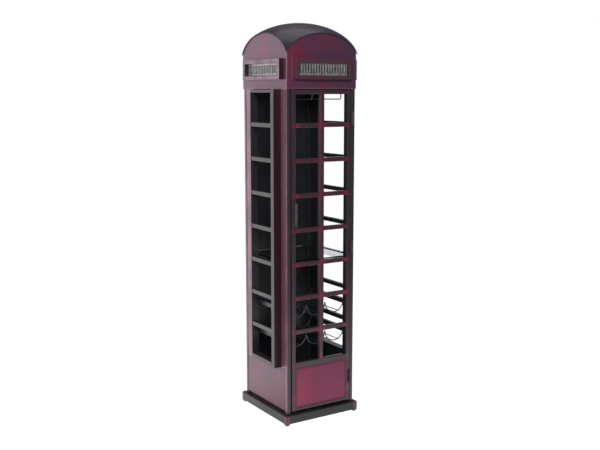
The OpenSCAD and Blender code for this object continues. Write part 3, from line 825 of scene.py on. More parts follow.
def make_materials():
    colours = bpy.context.scene.booth_colours
    first, pitch = bar_heights()
    crimson, wine, mauve = (tuple(part) for part in (colours.crimson, colours.wine,
                                                     colours.mauve))
    glaze, front_shade, blush_and_sheen = (tuple(part) for part in (colours.glaze, colours.front_shade,
                                                     colours.blush_and_sheen))
    dim_wine = tuple(0.75 * part for part in wine)
    thick_glaze = tuple(0.65 * part for part in glaze)
    berry = tuple(colours.berry)
    up, across = (0, 0, 1), (1, 0, 0)
    soft, broad = (0.16, 0.35, 0.68), (0.25, 0.3, 0.7)
    panel_lo, panel_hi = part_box("door_panel")
    panel_w, panel_h = panel_hi.x - panel_lo.x, panel_hi.z - panel_lo.z
    lacquer("Door panel lacquer", berry, [0.8 * part for part in berry], broad, metallic=0.35,
            rim=((panel_lo, panel_hi), 0.007, thick_glaze),
            patch=((panel_lo.x + 0.08 * panel_w, panel_lo.y, panel_lo.z + 0.4 * panel_h),
                   (0.34 * panel_w, 1, 0.8 * panel_h), crimson, 0.7))
    for node in ("lower_panel_left", "lower_panel_right"):
        lo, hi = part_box(node)
        strap = bpy.context.scene.booth_sizes.strap
        lacquer(f"{node} lacquer", mauve, wine, soft, rim=((lo, hi), 0.010, glaze),
                # Two thin dark lines at the strap's top and bottom edges: painted shadow of the
                # gaps there
                shadow_lines=((hi.z, hi.z - strap), 0.0025, thick_glaze),
                patch=(((lo.x + hi.x) / 2, 0.5 * lo.y, lo.z), (1, 0.16, 0.12), wine, 0.7))
    for node in ("header_front", "header_rear", "header_left", "header_right"):
        lo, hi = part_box(node)
        along, centre = (hi - lo) / 2, (lo + hi) / 2
        facing_front = along.x > along.y
        shift = 0.8 * along.x if facing_front else 0
        thin = 1.15
        # The pale pink rim is a painted highlight along the plates' edges, and the crimson patch,
        # towards the left end on the front and rear plates, is a painted highlight too
        lacquer(f"{node} lacquer", [thin * part for part in wine],
                [thin * part for part in mauve], (0.12, 0.35, 0.75),
                rim=((lo, hi), 0.006, blush_and_sheen),
                patch=((centre.x - shift, centre.y, lo.z + 0.9 * along.z),
                       (0.12, 0.10, 0.15), crimson, 0.45))
    # Strips: pale pink lacquer, partly painted sheen of the light on them
    lo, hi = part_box("front_strip_left")
    lacquer("Strip lacquer", blush_and_sheen, mauve, (0.3, 0.2, 0.5),
            patch=((0, lo.y, lo.z + 0.3 * (hi.z - lo.z)), (1, 0.05, 0.5), wine, 0.6))
    lacquer("Sign frame lacquer", wine, [1.5 * part for part in glaze], (0.06, 0.2, 0.8))
    # Side signs: pale pink lacquer, partly painted sheen, and a very dark red on the faces that
    # look to the front, painted shade
    lacquer("Side sign lacquer", blush_and_sheen, mauve, (0.06, 0.3, 0.6), front=front_shade)
    lacquer("Foot lacquer", wine, dim_wine, (0.03, 0.35, 0.6))
    # Posts: pale pink lacquer on the side faces, partly painted sheen, and glaze on the faces
    # that look to the front, painted shade
    lacquer("Post lacquer", blush_and_sheen, mauve, (0.12, 0.3, 0.75), front=glaze)
    lacquer("Door stile lacquer", dim_wine, glaze, (0.10, 0.45, 0.85),
            rub=(up, first, pitch, 0.016, 0.35, crimson))
    lacquer("Centre bar lacquer", wine, glaze, (0.09, 0.35, 0.75),
            rub=(up, first, pitch, 0.026, 0.8, crimson))
    lo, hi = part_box("door_cross_bars")
    lacquer("Cross bar lacquer", dim_wine, glaze, (0.06, 0.3, 0.7),
            rub=(across, lo.x, (hi.x - lo.x) / 2, 0.030, 0.75, crimson))
    lacquer("Door rail lacquer", dim_wine, glaze, (0.10, 0.4, 0.8), polished=True)
    # Window stiles: a very dark red on the faces that look to the front, painted shade
    lacquer("Window stile lacquer", thick_glaze, glaze, (0.12, 0.3, 0.7), front=front_shade)
    # Rear stiles: pale pink lacquer, partly painted sheen
    lacquer("Window rear stile lacquer", blush_and_sheen, mauve, (0.12, 0.2, 0.6))
    lo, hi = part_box("window_bars_left")
    lacquer("Window bar lacquer", thick_glaze, glaze, (0.10, 0.25, 0.6), level=glaze,
            rub=((0, 1, 0), lo.y, hi.y - lo.y, 0.010, 0.35, crimson))
    painted("Roof lacquer", colours.plum, [0.7 * part for part in colours.plum], 0.46, 0.60,
            size=0.15, metallic=0.1, coat=0.1)
    painted("Slate lacquer", colours.slate, [0.6 * part for part in colours.slate], 0.34, 0.48,
            size=0.08, metallic=0.2, coat=0.3)
    painted("Inside black", colours.inside, [0.5 * part for part in colours.inside], 0.32, 0.46,
            size=0.2, coat=0.2)
    painted("Wire black", colours.inside, [1.6 * part for part in colours.inside], 0.30, 0.42,
            coat=0.3)
    painted("Hinge steel", mauve, glaze, 0.3, 0.45, size=0.01, metallic=0.5)
    painted("Pin steel", colours.steel, [0.6 * part for part in colours.steel], 0.22, 0.36,
            size=0.01, metallic=1.0, coat=0.0)
    painted("Handle metal", colours.bronze, [0.5 * part for part in colours.bronze], 0.28, 0.40,
            size=0.03, metallic=0.6, coat=0.2)
    painted("Catch plastic", colours.rubber, [0.7 * part for part in colours.rubber], 0.45, 0.6,
            size=0.02, coat=0.0)
    painted("Pad rubber", colours.rubber, [1.4 * part for part in colours.rubber], 0.5, 0.7,
            size=0.01, coat=0.0)
    silver_plate("Front sign silver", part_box("sign_plate_front"), Y, -1)
    silver_plate("Left sign silver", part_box("sign_plate_left"), X, -1)
    silver_plate("Right sign silver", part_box("sign_plate_right"), X, 1)
    shelf_glass("Shelf glass")


# ---------------------------------------------------------------- pieces


def bar_heights():
    """Middle of the lowest cross bar of the door, and the distance to the next one."""
    middles = sorted({round((lo.z + hi.z) / 2, 5) for lo, hi in solids("door_cross_bars")})
    return middles[0], (middles[-1] - middles[0]) / (len(middles) - 1)


class BOOTH_OT_materials(bpy.types.Operator):
    """Make the shared effects and every finish"""

    bl_idname = "booth.materials"
    bl_label = "Finishes"

    def execute(self, context):
        make_shared_effects()
        make_materials()
        return {"FINISHED"}


def simple_tubes(nodes, axis, finish):
    for node in nodes:
        piece = square_tube(f"{node}_tube", *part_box(node), axis)
        finish_piece(piece, node, finish)


class BOOTH_OT_plinth(bpy.types.Operator):
    """Build the plinth's rails, its deck and its four corner feet"""

    bl_idname = "booth.plinth"
    bl_label = "Plinth"

    def execute(self, context):
        simple_tubes(("plinth_front_rail", "plinth_rear_rail"), X,
                     "Slate lacquer")
        simple_tubes(("plinth_left_rail", "plinth_right_rail"), Y,
                     "Slate lacquer")
        deck = sheet_metal("plinth_deck_sheet", *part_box("plinth_deck"))
        finish_piece(deck, "plinth_deck", "Slate lacquer")
        places = solids("corner_feet")
        first = self.foot(*places[0])
        others = [copy_to(first, f"foot_{i}", lo - places[0][0])
                  for i, (lo, _) in enumerate(places[1:])]
        feet = join(first, *others)
        finish_piece(feet, "corner_feet", "Foot lacquer")
        return {"FINISHED"}

    def foot(self, lo, hi):
        """A square peg with round edges, on a narrower end."""
        sizes = bpy.context.scene.booth_sizes
        pad_back, overlap = 4 * MM, 0.5 * MM
        narrow = Vector((pad_back, pad_back, 0))
        shoulder = Vector((0, 0, sizes.foot_pad))
        peg = block("corner_feet_pegs", lo + shoulder, hi)
        end = block("end", lo + narrow, Vector((hi.x, hi.y, lo.z + sizes.foot_pad + overlap))
                    - narrow)
        peg_edge, end_edge = 1.5 * MM, 1 * MM
        for part, rounding in ((peg, peg_edge), (end, end_edge)):
            with editing(part):
                pick("EDGE", lambda edge: runs_along(edge, Z))
                bevel(sizes.foot_rounding, 5)
            soften(part, rounding, 3)
        return join(peg, end)


class BOOTH_OT_posts(bpy.types.Operator):
    """Build the four corner posts"""

    bl_idname = "booth.posts"
    bl_label = "Posts"

    def execute(self, context):
        simple_tubes(("post_front_left", "post_front_right", "post_rear_left",
                      "post_rear_right"), Z, "Post lacquer")
        return {"FINISHED"}


class BOOTH_OT_walls(bpy.types.Operator):
    """Build the wall sheets, the inner rails, the ceiling and the back"""

    bl_idname = "booth.walls"
    bl_label = "Walls"

    def execute(self, context):
        for side, name in ((-1, "left"), (1, "right")):
            self.lower_panel(f"lower_panel_{name}", side)
            for strip in ("front_strip", "rear_strip"):
                node = f"{strip}_{name}"
                piece = sheet_metal(f"{node}_sheet", *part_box(node))
                finish_piece(piece, node, "Strip lacquer")
        simple_tubes(("sill_rail_front", "head_rail_front"), X, "Inside black")
        ceiling = sheet_metal("ceiling_panel_sheet", *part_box("ceiling_panel"))
        finish_piece(ceiling, "ceiling_panel", "Inside black")
        self.back_panel()
        return {"FINISHED"}

    def lower_panel(self, node, side):
        """One sheet, folded in and down again at its foot, with a strap over its top edge."""
        sizes = bpy.context.scene.booth_sizes
        lo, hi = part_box(node)
        outer, inner = (lo.x, hi.x) if side < 0 else (hi.x, lo.x)
        fold_z = lo.z + sizes.wall_foot
        deselect()
        bpy.ops.mesh.primitive_plane_add(
            size=1, rotation=(0, side * math.pi / 2, 0),
            location=(outer, (lo.y + hi.y) / 2, (fold_z + hi.z) / 2))
        piece = named(f"{node}_sheet")
        piece.scale = (hi.z - fold_z, hi.y - lo.y, 1)
        settle()
        with editing(piece):
            pick("EDGE", lambda edge: runs_along(edge, Y) and edge.verts[0].co.z < fold_z + MM)
            extrude((inner + side * sizes.sheet - outer, 0, 0))
            extrude((0, 0, -sizes.wall_foot))
            pick("EDGE", lambda edge: runs_along(edge, Y) and not edge.is_boundary)
            bevel(sizes.fold_rounding, 4)
            close_up()
            pick("FACE", lambda face: face.normal.x * side < -ALIGNED)
            flipped = bpy.context.edit_object.data.total_face_sel > 0
            bpy.ops.mesh.select_all(action="SELECT")
            if flipped:
                bpy.ops.mesh.flip_normals()
        apply(piece, "SOLIDIFY", thickness=sizes.sheet, offset=-1, use_even_offset=True)
        sheet_edge, strap_edge, strap_rise, strap_gap = 0.3 * MM, 0.35 * MM, 0.4 * MM, 2 * MM
        soften(piece, sheet_edge)
        strap_w = sizes.strap
        strap_x = outer + side * strap_rise
        strap = block(f"{node}_strap",
                      Vector((min(strap_x, outer - side * MM), lo.y + strap_gap, hi.z - strap_w)),
                      Vector((max(strap_x, outer - side * MM), hi.y - strap_gap,
                              hi.z - strap_gap)))
        soften(strap, strap_edge)
        finish_piece(join(piece, strap), node, f"{node} lacquer")

    def back_panel(self):
        """A sheet with a shallow pressed field and screws round its edge."""
        lo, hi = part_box("back_panel")
        piece = block("back_panel_sheet", lo, hi)
        border, slope, press, sheet_edge = 16 * MM, 2 * MM, 0.8 * MM, 0.3 * MM
        with editing(piece):
            pick_facing(Y, 1)
            bpy.ops.mesh.inset(thickness=border)
            bpy.ops.mesh.inset(thickness=slope, depth=-press)
        soften(piece, sheet_edge)
        rows, edge, ends = 8, 8 * MM, 30 * MM
        rise = (hi.z - lo.z - 2 * ends) / (rows - 1)
        places = [Vector((x, hi.y, lo.z + ends + i * rise))
                  for i in range(rows) for x in (lo.x + edge, hi.x - edge)]
        first = self.screw(places[0])
        others = [copy_to(first, f"screw_{i}", place - places[0])
                  for i, place in enumerate(places[1:])]
        finish_piece(join(piece, first, *others), "back_panel",
                     "Inside black")

    def screw(self, place):
        """A low round head that looks along +Y."""
        radius, length, rounding, sides = 3.2 * MM, 2 * MM, 0.8 * MM, 16
        head = rod("screw", place, radius, length, Y, sides)
        with editing(head):
            pick_facing(Y, 1)
            bevel(rounding, 3)
        return head


class BOOTH_OT_windows(bpy.types.Operator):
    """Build the two window boxes: stiles, rails and cross bars"""

    bl_idname = "booth.windows"
    bl_label = "Side windows"

    def execute(self, context):
        for name in ("left", "right"):
            simple_tubes((f"window_front_stile_{name}",), Z,
                         "Window stile lacquer")
            simple_tubes((f"window_rear_stile_{name}",), Z,
                         "Window rear stile lacquer")
            self.bars(f"window_bars_{name}")
        return {"FINISHED"}

    def bars(self, node):
        """Tubes between the stiles; the top one carries a flange up behind the header."""
        made = []
        boxes = solids(node)
        for i, (lo, hi) in enumerate(boxes):
            if i == len(boxes) - 1:
                side = node.rsplit("_", 1)[1]
                front, rear = (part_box(f"window_{place}_stile_{side}")
                               for place in ("front", "rear"))
                top, stiles = front[1].z, (front[1].y, rear[0].y)
                sheet = bpy.context.scene.booth_sizes.sheet
                wall = lo.x if abs(lo.x) < abs(hi.x) else hi.x
                outward = math.copysign(sheet, wall)
                flange = sheet_metal(f"{node}_flange",
                                     Vector((min(wall, wall + outward), lo.y, top)),
                                     Vector((max(wall, wall + outward), hi.y, hi.z)))
                made.append(flange)
                lo, hi = Vector((lo.x, stiles[0], lo.z)), Vector((hi.x, stiles[1], top))
            made.append(square_tube(f"{node}_tube_{i}", lo, hi, Y))
        piece = join_as(f"{node}_tubes", reversed(made))
        finish_piece(piece, node, "Window bar lacquer")


def raise_to_dome(verts, inset=0.0):
    """Lifts vertices to the roof's surface, or to its underside when inset."""
    sizes = bpy.context.scene.booth_sizes
    level = sizes.roof_level_axis - inset
    upright = sizes.roof_upright_axis - inset
    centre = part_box("roof_dome")[1].z - sizes.roof_upright_axis
    for vert in verts:
        away = math.hypot(vert.co.x, vert.co.y) / level
        vert.co.z = centre + upright * math.sqrt(1 - away * away)


class BOOTH_OT_header(bpy.types.Operator):
    """Build the four header plates with their arched tops"""

    bl_idname = "booth.header"
    bl_label = "Header"

    def execute(self, context):
        for node, axis in (("header_front", X), ("header_rear", X), ("header_left", Y),
                           ("header_right", Y)):
            self.plate(node, axis)
        return {"FINISHED"}

    def plate(self, node, axis):
        """A sheet whose top edge is raised to the dome's underside, column by column."""
        columns = 48
        sizes = bpy.context.scene.booth_sizes
        lo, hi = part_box(node)
        piece = block(f"{node}_sheet", lo, hi)
        with editing(piece):
            if axis == X:
                pick("EDGE", lambda edge: runs_along(edge, Z))
                bevel(sizes.corner_rounding, 4)
            pick("EDGE", lambda edge: runs_along(edge, axis) and edge.calc_length() > 0.1)
            bpy.ops.mesh.subdivide(number_cuts=columns - 1)
        top = [vert for vert in piece.data.vertices if vert.co.z > (lo.z + hi.z) / 2]
        raise_to_dome(top, sizes.sheet)
        with editing(piece):
            pick("EDGE", lambda edge: edge.calc_face_angle(0) > 1
                 and max(vert.co.z for vert in edge.verts) < lo.z + MM)
            bevel(sizes.sheet_rounding, 2)
        finish_piece(piece, node, f"{node} lacquer")


class BOOTH_OT_roof(bpy.types.Operator):
    """Build the domed roof sheet with its folded edge"""

    bl_idname = "booth.roof"
    bl_label = "Roof"

    def execute(self, context):
        columns = 72
        sizes = context.scene.booth_sizes
        lo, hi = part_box("roof_dome")
        deselect()
        bpy.ops.mesh.primitive_grid_add(
            x_subdivisions=columns, y_subdivisions=columns, size=1,
            location=((lo.x + hi.x) / 2, (lo.y + hi.y) / 2, 0))
        piece = named("roof_dome_sheet")
        piece.scale = (hi.x - lo.x, hi.y - lo.y, 1)
        settle()
        raise_to_dome(piece.data.vertices)
        with editing(piece):
            pick("EDGE", lambda edge: edge.is_boundary)
            extrude((0, 0, -sizes.roof_hem))
            close_up()
        if piece.data.polygons[0].normal.z < 0:
            with editing(piece):
                bpy.ops.mesh.select_all(action="SELECT")
                bpy.ops.mesh.flip_normals()
        apply(piece, "SOLIDIFY", thickness=sizes.sheet, offset=-1, use_even_offset=True)
        soften(piece, 0.8 * MM, 3, math.radians(25))
        finish_piece(piece, "roof_dome", "Roof lacquer")
        return {"FINISHED"}


class BOOTH_OT_signs(bpy.types.Operator):
    """Build the three sign frames and their ribbed plates"""

    bl_idname = "booth.signs"
    bl_label = "Signs"

    def execute(self, context):
        for name, axis, side in (("front", Y, -1), ("left", X, -1), ("right", X, 1)):
            self.frame(f"sign_frame_{name}", axis, side)
            self.plate(f"sign_plate_{name}", axis, side, f"{name.capitalize()} sign silver")
        return {"FINISHED"}

    def frame(self, node, axis, side):
        """A box of folded sheet, open behind, with a window let into its face."""
        sizes = bpy.context.scene.booth_sizes
        lo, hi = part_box(node)
        piece = block(f"{node}_sheet", lo, hi)
        inward = [0, 0, 0]
        inward[axis] = -side * (hi[axis] - lo[axis])
        lip, reach, edge = 1.5 * MM, 0.9, 0.6 * MM
        with editing(piece):
            pick_facing(axis, -side)
            bpy.ops.mesh.delete(type="FACE")
            pick_facing(axis, side)
            bpy.ops.mesh.inset(thickness=sizes.sign_border - lip)
            bpy.ops.mesh.inset(thickness=lip, depth=-lip)
            extrude([part * reach for part in inward])
            bpy.ops.mesh.delete(type="FACE")
        apply(piece, "SOLIDIFY", thickness=sizes.tube_wall, offset=-1, use_even_offset=True)
        soften(piece, edge)
        finish = "Sign frame lacquer" if axis == Y else "Side sign lacquer"
        finish_piece(piece, node, finish)

    def plate(self, node, axis, side, finish):
        """A plate with a raised rim and a row of plain upright ribs."""
        sizes = bpy.context.scene.booth_sizes
        lo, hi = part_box(node)
        across = X if axis == Y else Y
        piece = block(f"{node}_plate", lo, hi)
        rim, slope, sunk, plate_edge = 3 * MM, 0.6 * MM, 1 * MM, 0.25 * MM
        with editing(piece):
            pick_facing(axis, side)
            bpy.ops.mesh.inset(thickness=rim)
            bpy.ops.mesh.inset(thickness=slope, depth=-sunk)
        soften(piece, plate_edge)
        margin, foot, root, rib_edge = 8 * MM, 8 * MM, 1.5 * MM, 0.7 * MM
        count = int((hi[across] - lo[across] - 2 * margin) / sizes.rib_pitch)
        start = (lo[across] + hi[across] - count * sizes.rib_pitch) / 2
        face = hi[axis] if side > 0 else lo[axis]
        low, high = lo.copy(), hi.copy()
        low[across], high[across] = start, start + sizes.rib_width
        low.z, high.z = lo.z + foot, hi.z - foot
        low[axis] = min(face - side * root, face + side * sizes.rib_rise)
        high[axis] = max(face - side * root, face + side * sizes.rib_rise)
        rib = block("rib", low, high)
        soften(rib, rib_edge)
        step = Vector((0, 0, 0))
        ribs = [rib]
        for i in range(1, count + 1):
            step[across] = i * sizes.rib_pitch
            ribs.append(copy_to(rib, f"rib_{i}", step))
        finish_piece(join(piece, *ribs), node, finish)


class BOOTH_OT_door(bpy.types.Operator):
    """Build the door: stiles, rails, bars and the lower panel"""

    bl_idname = "booth.door"
    bl_label = "Door"

    def execute(self, context):
        simple_tubes(("door_left_stile", "door_right_stile"), Z,
                     "Door stile lacquer")
        simple_tubes(("door_centre_bar",), Z, "Centre bar lacquer")
        simple_tubes(("door_top_rail", "door_mid_rail", "door_bottom_rail"), X,
                     "Door rail lacquer")
        bars = [square_tube(f"door_cross_bar_{i}", lo, hi, X)
                for i, (lo, hi) in enumerate(solids("door_cross_bars"))]
        piece = join_as("door_cross_bars_tubes", bars)
        finish_piece(piece, "door_cross_bars", "Cross bar lacquer")
        self.panel()
        return {"FINISHED"}

    def panel(self):
        """A sheet with a fine groove round its raised field."""
        sizes = bpy.context.scene.booth_sizes
        lo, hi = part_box("door_panel")
        piece = block("door_panel_sheet", lo, hi)
        groove, rise, edge = 1.0 * MM, 1.2 * MM, 0.25 * MM
        with editing(piece):
            pick_facing(Y, -1)
            bpy.ops.mesh.inset(thickness=sizes.panel_margin)
            bpy.ops.mesh.inset(thickness=groove, depth=-groove)
            bpy.ops.mesh.inset(thickness=groove)
            bpy.ops.mesh.inset(thickness=rise, depth=rise)
        soften(piece, edge)
        finish_piece(piece, "door_panel", "Door panel lacquer")


class BOOTH_OT_handle(bpy.types.Operator):
    """Build the flat pull handle on its two posts"""

    bl_idname = "booth.handle"
    bl_label = "Handle"

    def execute(self, context):
        lo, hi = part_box("door_handle")
        door_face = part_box("door_left_stile")[0].y
        grip_t, post_r, post_in = 4 * MM, 4 * MM, 14 * MM
        corner, front_edge, back_edge, post_rim = 2.5 * MM, 1.2 * MM, 0.6 * MM, 0.1 * MM
        collar_t, collar_edge = 2 * MM, 0.7 * MM
        grip = block("door_handle_grip", lo, Vector((hi.x, lo.y + grip_t, hi.z)))
        with editing(grip):
            pick("EDGE", lambda edge: runs_along(edge, Y))
            bevel(corner, 5)
            pick_facing(Y, -1)
            bevel(front_edge, 4)
            pick_facing(Y, 1)
            bevel(back_edge, 2)
        made = [grip]
        for z in (lo.z + post_in, hi.z - post_in):
            top = lo.y + 0.5 * grip_t
            post = rod(f"post_{z:.2f}", Vector(((lo.x + hi.x) / 2, (top + door_face) / 2, z)),
                       post_r, door_face - top, Y)
            with editing(post):
                pick_facing(Y, 1)
                bpy.ops.mesh.inset(thickness=post_rim)
            collar = rod(f"collar_{z:.2f}", Vector(((lo.x + hi.x) / 2, door_face - 1 * MM, z)),
                         1.5 * post_r, collar_t, Y)
            soften(collar, collar_edge, 3)
            made += [post, collar]
        finish_piece(join(*made), "door_handle", "Handle metal")
        return {"FINISHED"}


class BOOTH_OT_hinges(bpy.types.Operator):
    """Build the hinge barrels with their welded tabs, and the pins"""

    bl_idname = "booth.hinges"
    bl_label = "Hinges"

    def execute(self, context):
        pins = solids("hinge_pins")
        for node in ("hinge_lower_barrels", "hinge_upper_barrels"):
            boxes = solids(node)
            first = self.barrel(f"{node}_set", boxes[0], pins[0])
            rest = [copy_to(first, f"{node}_{i}", lo - boxes[0][0])
                    for i, (lo, _) in enumerate(boxes[1:])]
            finish_piece(join(first, *rest), node, "Hinge steel")
        made = []
        for i, (lo, hi) in enumerate(pins):
            pin = rod(f"hinge_pins_{i}", (lo + hi) / 2, (hi.x - lo.x) / 2, hi.z - lo.z)
            soften(pin, 0.9 * MM, 3, math.radians(60))
            made.append(pin)
        piece = join_as("hinge_pins_set", made)
        finish_piece(piece, "hinge_pins", "Pin steel")
        return {"FINISHED"}

    def barrel(self, name, box, pin):
        """A bored barrel with a tab that lies on the frame beside it."""
        lo, hi = box
        centre = (pin[0] + pin[1]) / 2
        radius = centre.y - lo.y
        bore = (pin[1].x - pin[0].x) / 2
        middle = Vector((centre.x, centre.y, (lo.z + hi.z) / 2))
        running_gap, barrel_edge = 0.1 * MM, 0.7 * MM
        piece = rod(name, middle, radius, hi.z - lo.z - 2 * running_gap)
        with editing(piece):
            pick("FACE", lambda face: abs(face.normal.z) > ALIGNED)
            bevel(barrel_edge, 2)
            pick("FACE", lambda face: abs(face.normal.z) > FLAT)
            bpy.ops.mesh.inset(thickness=radius - barrel_edge - bore)
            bpy.ops.mesh.bridge_edge_loops()
        tab_t, tab_end, tab_edge = 2 * MM, 3 * MM, 0.6 * MM
        outward = 1 if hi.x - centre.x > centre.x - lo.x else -1
        far = hi.x if outward > 0 else lo.x
        near = centre.x + outward * 0.6 * radius
        tab = block("tab", Vector((min(near, far), hi.y - tab_t, lo.z + tab_end)),
                    Vector((max(near, far), hi.y, hi.z - tab_end)))
        soften(tab, tab_edge)
        return join(piece, tab)


class BOOTH_OT_catch(bpy.types.Operator):
    """Build the magnetic catch and the plate that it holds"""

    bl_idname = "booth.catch"
    bl_label = "Catch"

    def execute(self, context):
        lo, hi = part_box("magnetic_catch")
        strike_lo, strike_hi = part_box("strike_plate")
        face_y = strike_hi.y + 0.2 * MM
        bracket_t = 1.5 * MM
        body = block("magnetic_catch_body", Vector((lo.x, face_y, lo.z)), hi)
        with editing(body):
            pick_facing(Y, -1)
            bpy.ops.mesh.inset(thickness=2.5 * MM)
            bpy.ops.mesh.inset(thickness=0.5 * MM, depth=-0.8 * MM)
        soften(body, 0.8 * MM)
        bracket = block("bracket", lo, Vector((lo.x + bracket_t, hi.y, hi.z)))
        soften(bracket, 0.4 * MM)
        finish_piece(join(body, bracket), "magnetic_catch",
                     "Catch plastic")
        plate = block("strike_plate_sheet", strike_lo, strike_hi)
        with editing(plate):
            pick("EDGE", lambda edge: runs_along(edge, Y))
            bevel(2 * MM, 4)
            pick_facing(Y, 1)
            bpy.ops.mesh.inset(thickness=3 * MM)
            bpy.ops.mesh.inset(thickness=0.4 * MM, depth=-0.4 * MM)
        finish_piece(plate, "strike_plate", "Hinge steel")
        return {"FINISHED"}


class BOOTH_OT_racks(bpy.types.Operator):
    """Build the side bars, the two bottle racks and the stemware wires"""

    bl_idname = "booth.racks"
    bl_label = "Racks"

    def execute(self, context):
        for node in ("rack_bars_left", "rack_bars_right"):
            tubes = [square_tube(f"{node}_{i}", lo, hi, Y)
                     for i, (lo, hi) in enumerate(solids(node))]
            piece = join_as(f"{node}_tubes", tubes)
            finish_piece(piece, node, "Inside black")
        self.bottle_rack("bottle_rack_lower")
        self.bottle_rack("bottle_rack_upper")
        self.stemware_wires()
        return {"FINISHED"}

    def bottle_rack(self, node):
        """Three wire cradles at the front and the back, on straight wires."""
        sizes = bpy.context.scene.booth_sizes
        lo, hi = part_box(node)
        z = hi.z - sizes.wire / 2
        radius, reach = sizes.cradle_radius, sizes.long_wire_reach
        pitch = hi.x - sizes.wire / 2 - radius
        length = hi.y - lo.y - sizes.long_wire
        front = lo.y + sizes.long_wire / 2
        rows = (front + sizes.cradle_front, hi.y - sizes.long_wire / 2 - sizes.cradle_back)
        drop = math.sqrt(radius ** 2 - reach ** 2)
        made = []
        for i in (-1, 0, 1):
            for y in rows:
                start = Vector((i * pitch - radius, y, z))
                with drawing(f"{node}_cradle_{i}", start, (0, 0, -1), sizes.wire) as cradle:
                    turn((i * pitch, y, z), (0, 1, 0), -math.pi, 20)
                made.append(cradle)
            for side in (-1, 1):
                start = Vector((i * pitch + side * reach, front, z - drop))
                with drawing(f"{node}_long_{i}", start, (0, 1, 0), sizes.long_wire) as wire:
                    go(y=length)
                made.append(wire)
        for y in rows:
            for side in (-1, 1):
                made.append(self.weld(Vector((side * pitch / 2, y, z)), sizes.wire))
                made.append(self.weld(Vector((side * (pitch + radius), y, z)), sizes.wire))
        piece = join_as(f"{node}_wires", made)
        finish_piece(piece, node, "Wire black")

    def weld(self, place, diameter):
        """A small bead of weld."""
        bpy.ops.mesh.primitive_uv_sphere_add(
            segments=12, ring_count=8, radius=0.5 * diameter, location=place)
        bead = named("bead")
        bead.scale = (0.95, 1.0, 0.9)
        settle()
        return bead

    def stemware_wires(self):
        """Straight wires along the ceiling, their ends bent up to it."""
        sizes = bpy.context.scene.booth_sizes
        bend = sizes.wire_bend
        made = []
        for i, (lo, hi) in enumerate(solids("stemware_wires")):
            x = (lo.x + hi.x) / 2
            front, back = lo.y + sizes.wire / 2, hi.y - sizes.wire / 2
            level = lo.z + sizes.wire / 2
            with drawing(f"stemware_{i}", Vector((x, front, hi.z)), (0, 0, -1),
                         sizes.wire) as wire:
                go(z=level + bend - hi.z)
                turn((x, front + bend, level + bend), (1, 0, 0), math.pi / 2)
                go(y=back - front - 2 * bend)
                turn((x, back - bend, level + bend), (1, 0, 0), math.pi / 2)
                go(z=hi.z - level - bend)
            made.append(wire)
        piece = join_as("stemware_wires_bent", made)
        finish_piece(piece, "stemware_wires", "Wire black")


class BOOTH_OT_shelf(bpy.types.Operator):
    """Build the glass shelf and the pads that it lies on"""

    bl_idname = "booth.shelf"
    bl_label = "Glass shelf"

    def execute(self, context):
        lo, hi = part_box("glass_shelf")
        shelf = block("glass_shelf_pane", lo, hi)
        with editing(shelf):
            pick("EDGE", lambda edge: runs_along(edge, Z))
            bevel(4 * MM, 5)
        soften(shelf, 0.9 * MM, 3)
        finish_piece(shelf, "glass_shelf", "Shelf glass")
        made = []
        for i, (lo, hi) in enumerate(solids("shelf_pads")):
            pad = rod(f"pad_{i}", (lo + hi) / 2, (hi.x - lo.x) / 2, hi.z - lo.z)
            soften(pad, 0.6 * MM, 3, math.radians(60))
            made.append(pad)
        piece = join_as("shelf_pads_set", made)
        finish_piece(piece, "shelf_pads", "Pad rubber")
        return {"FINISHED"}


# ---------------------------------------------------------------- stage


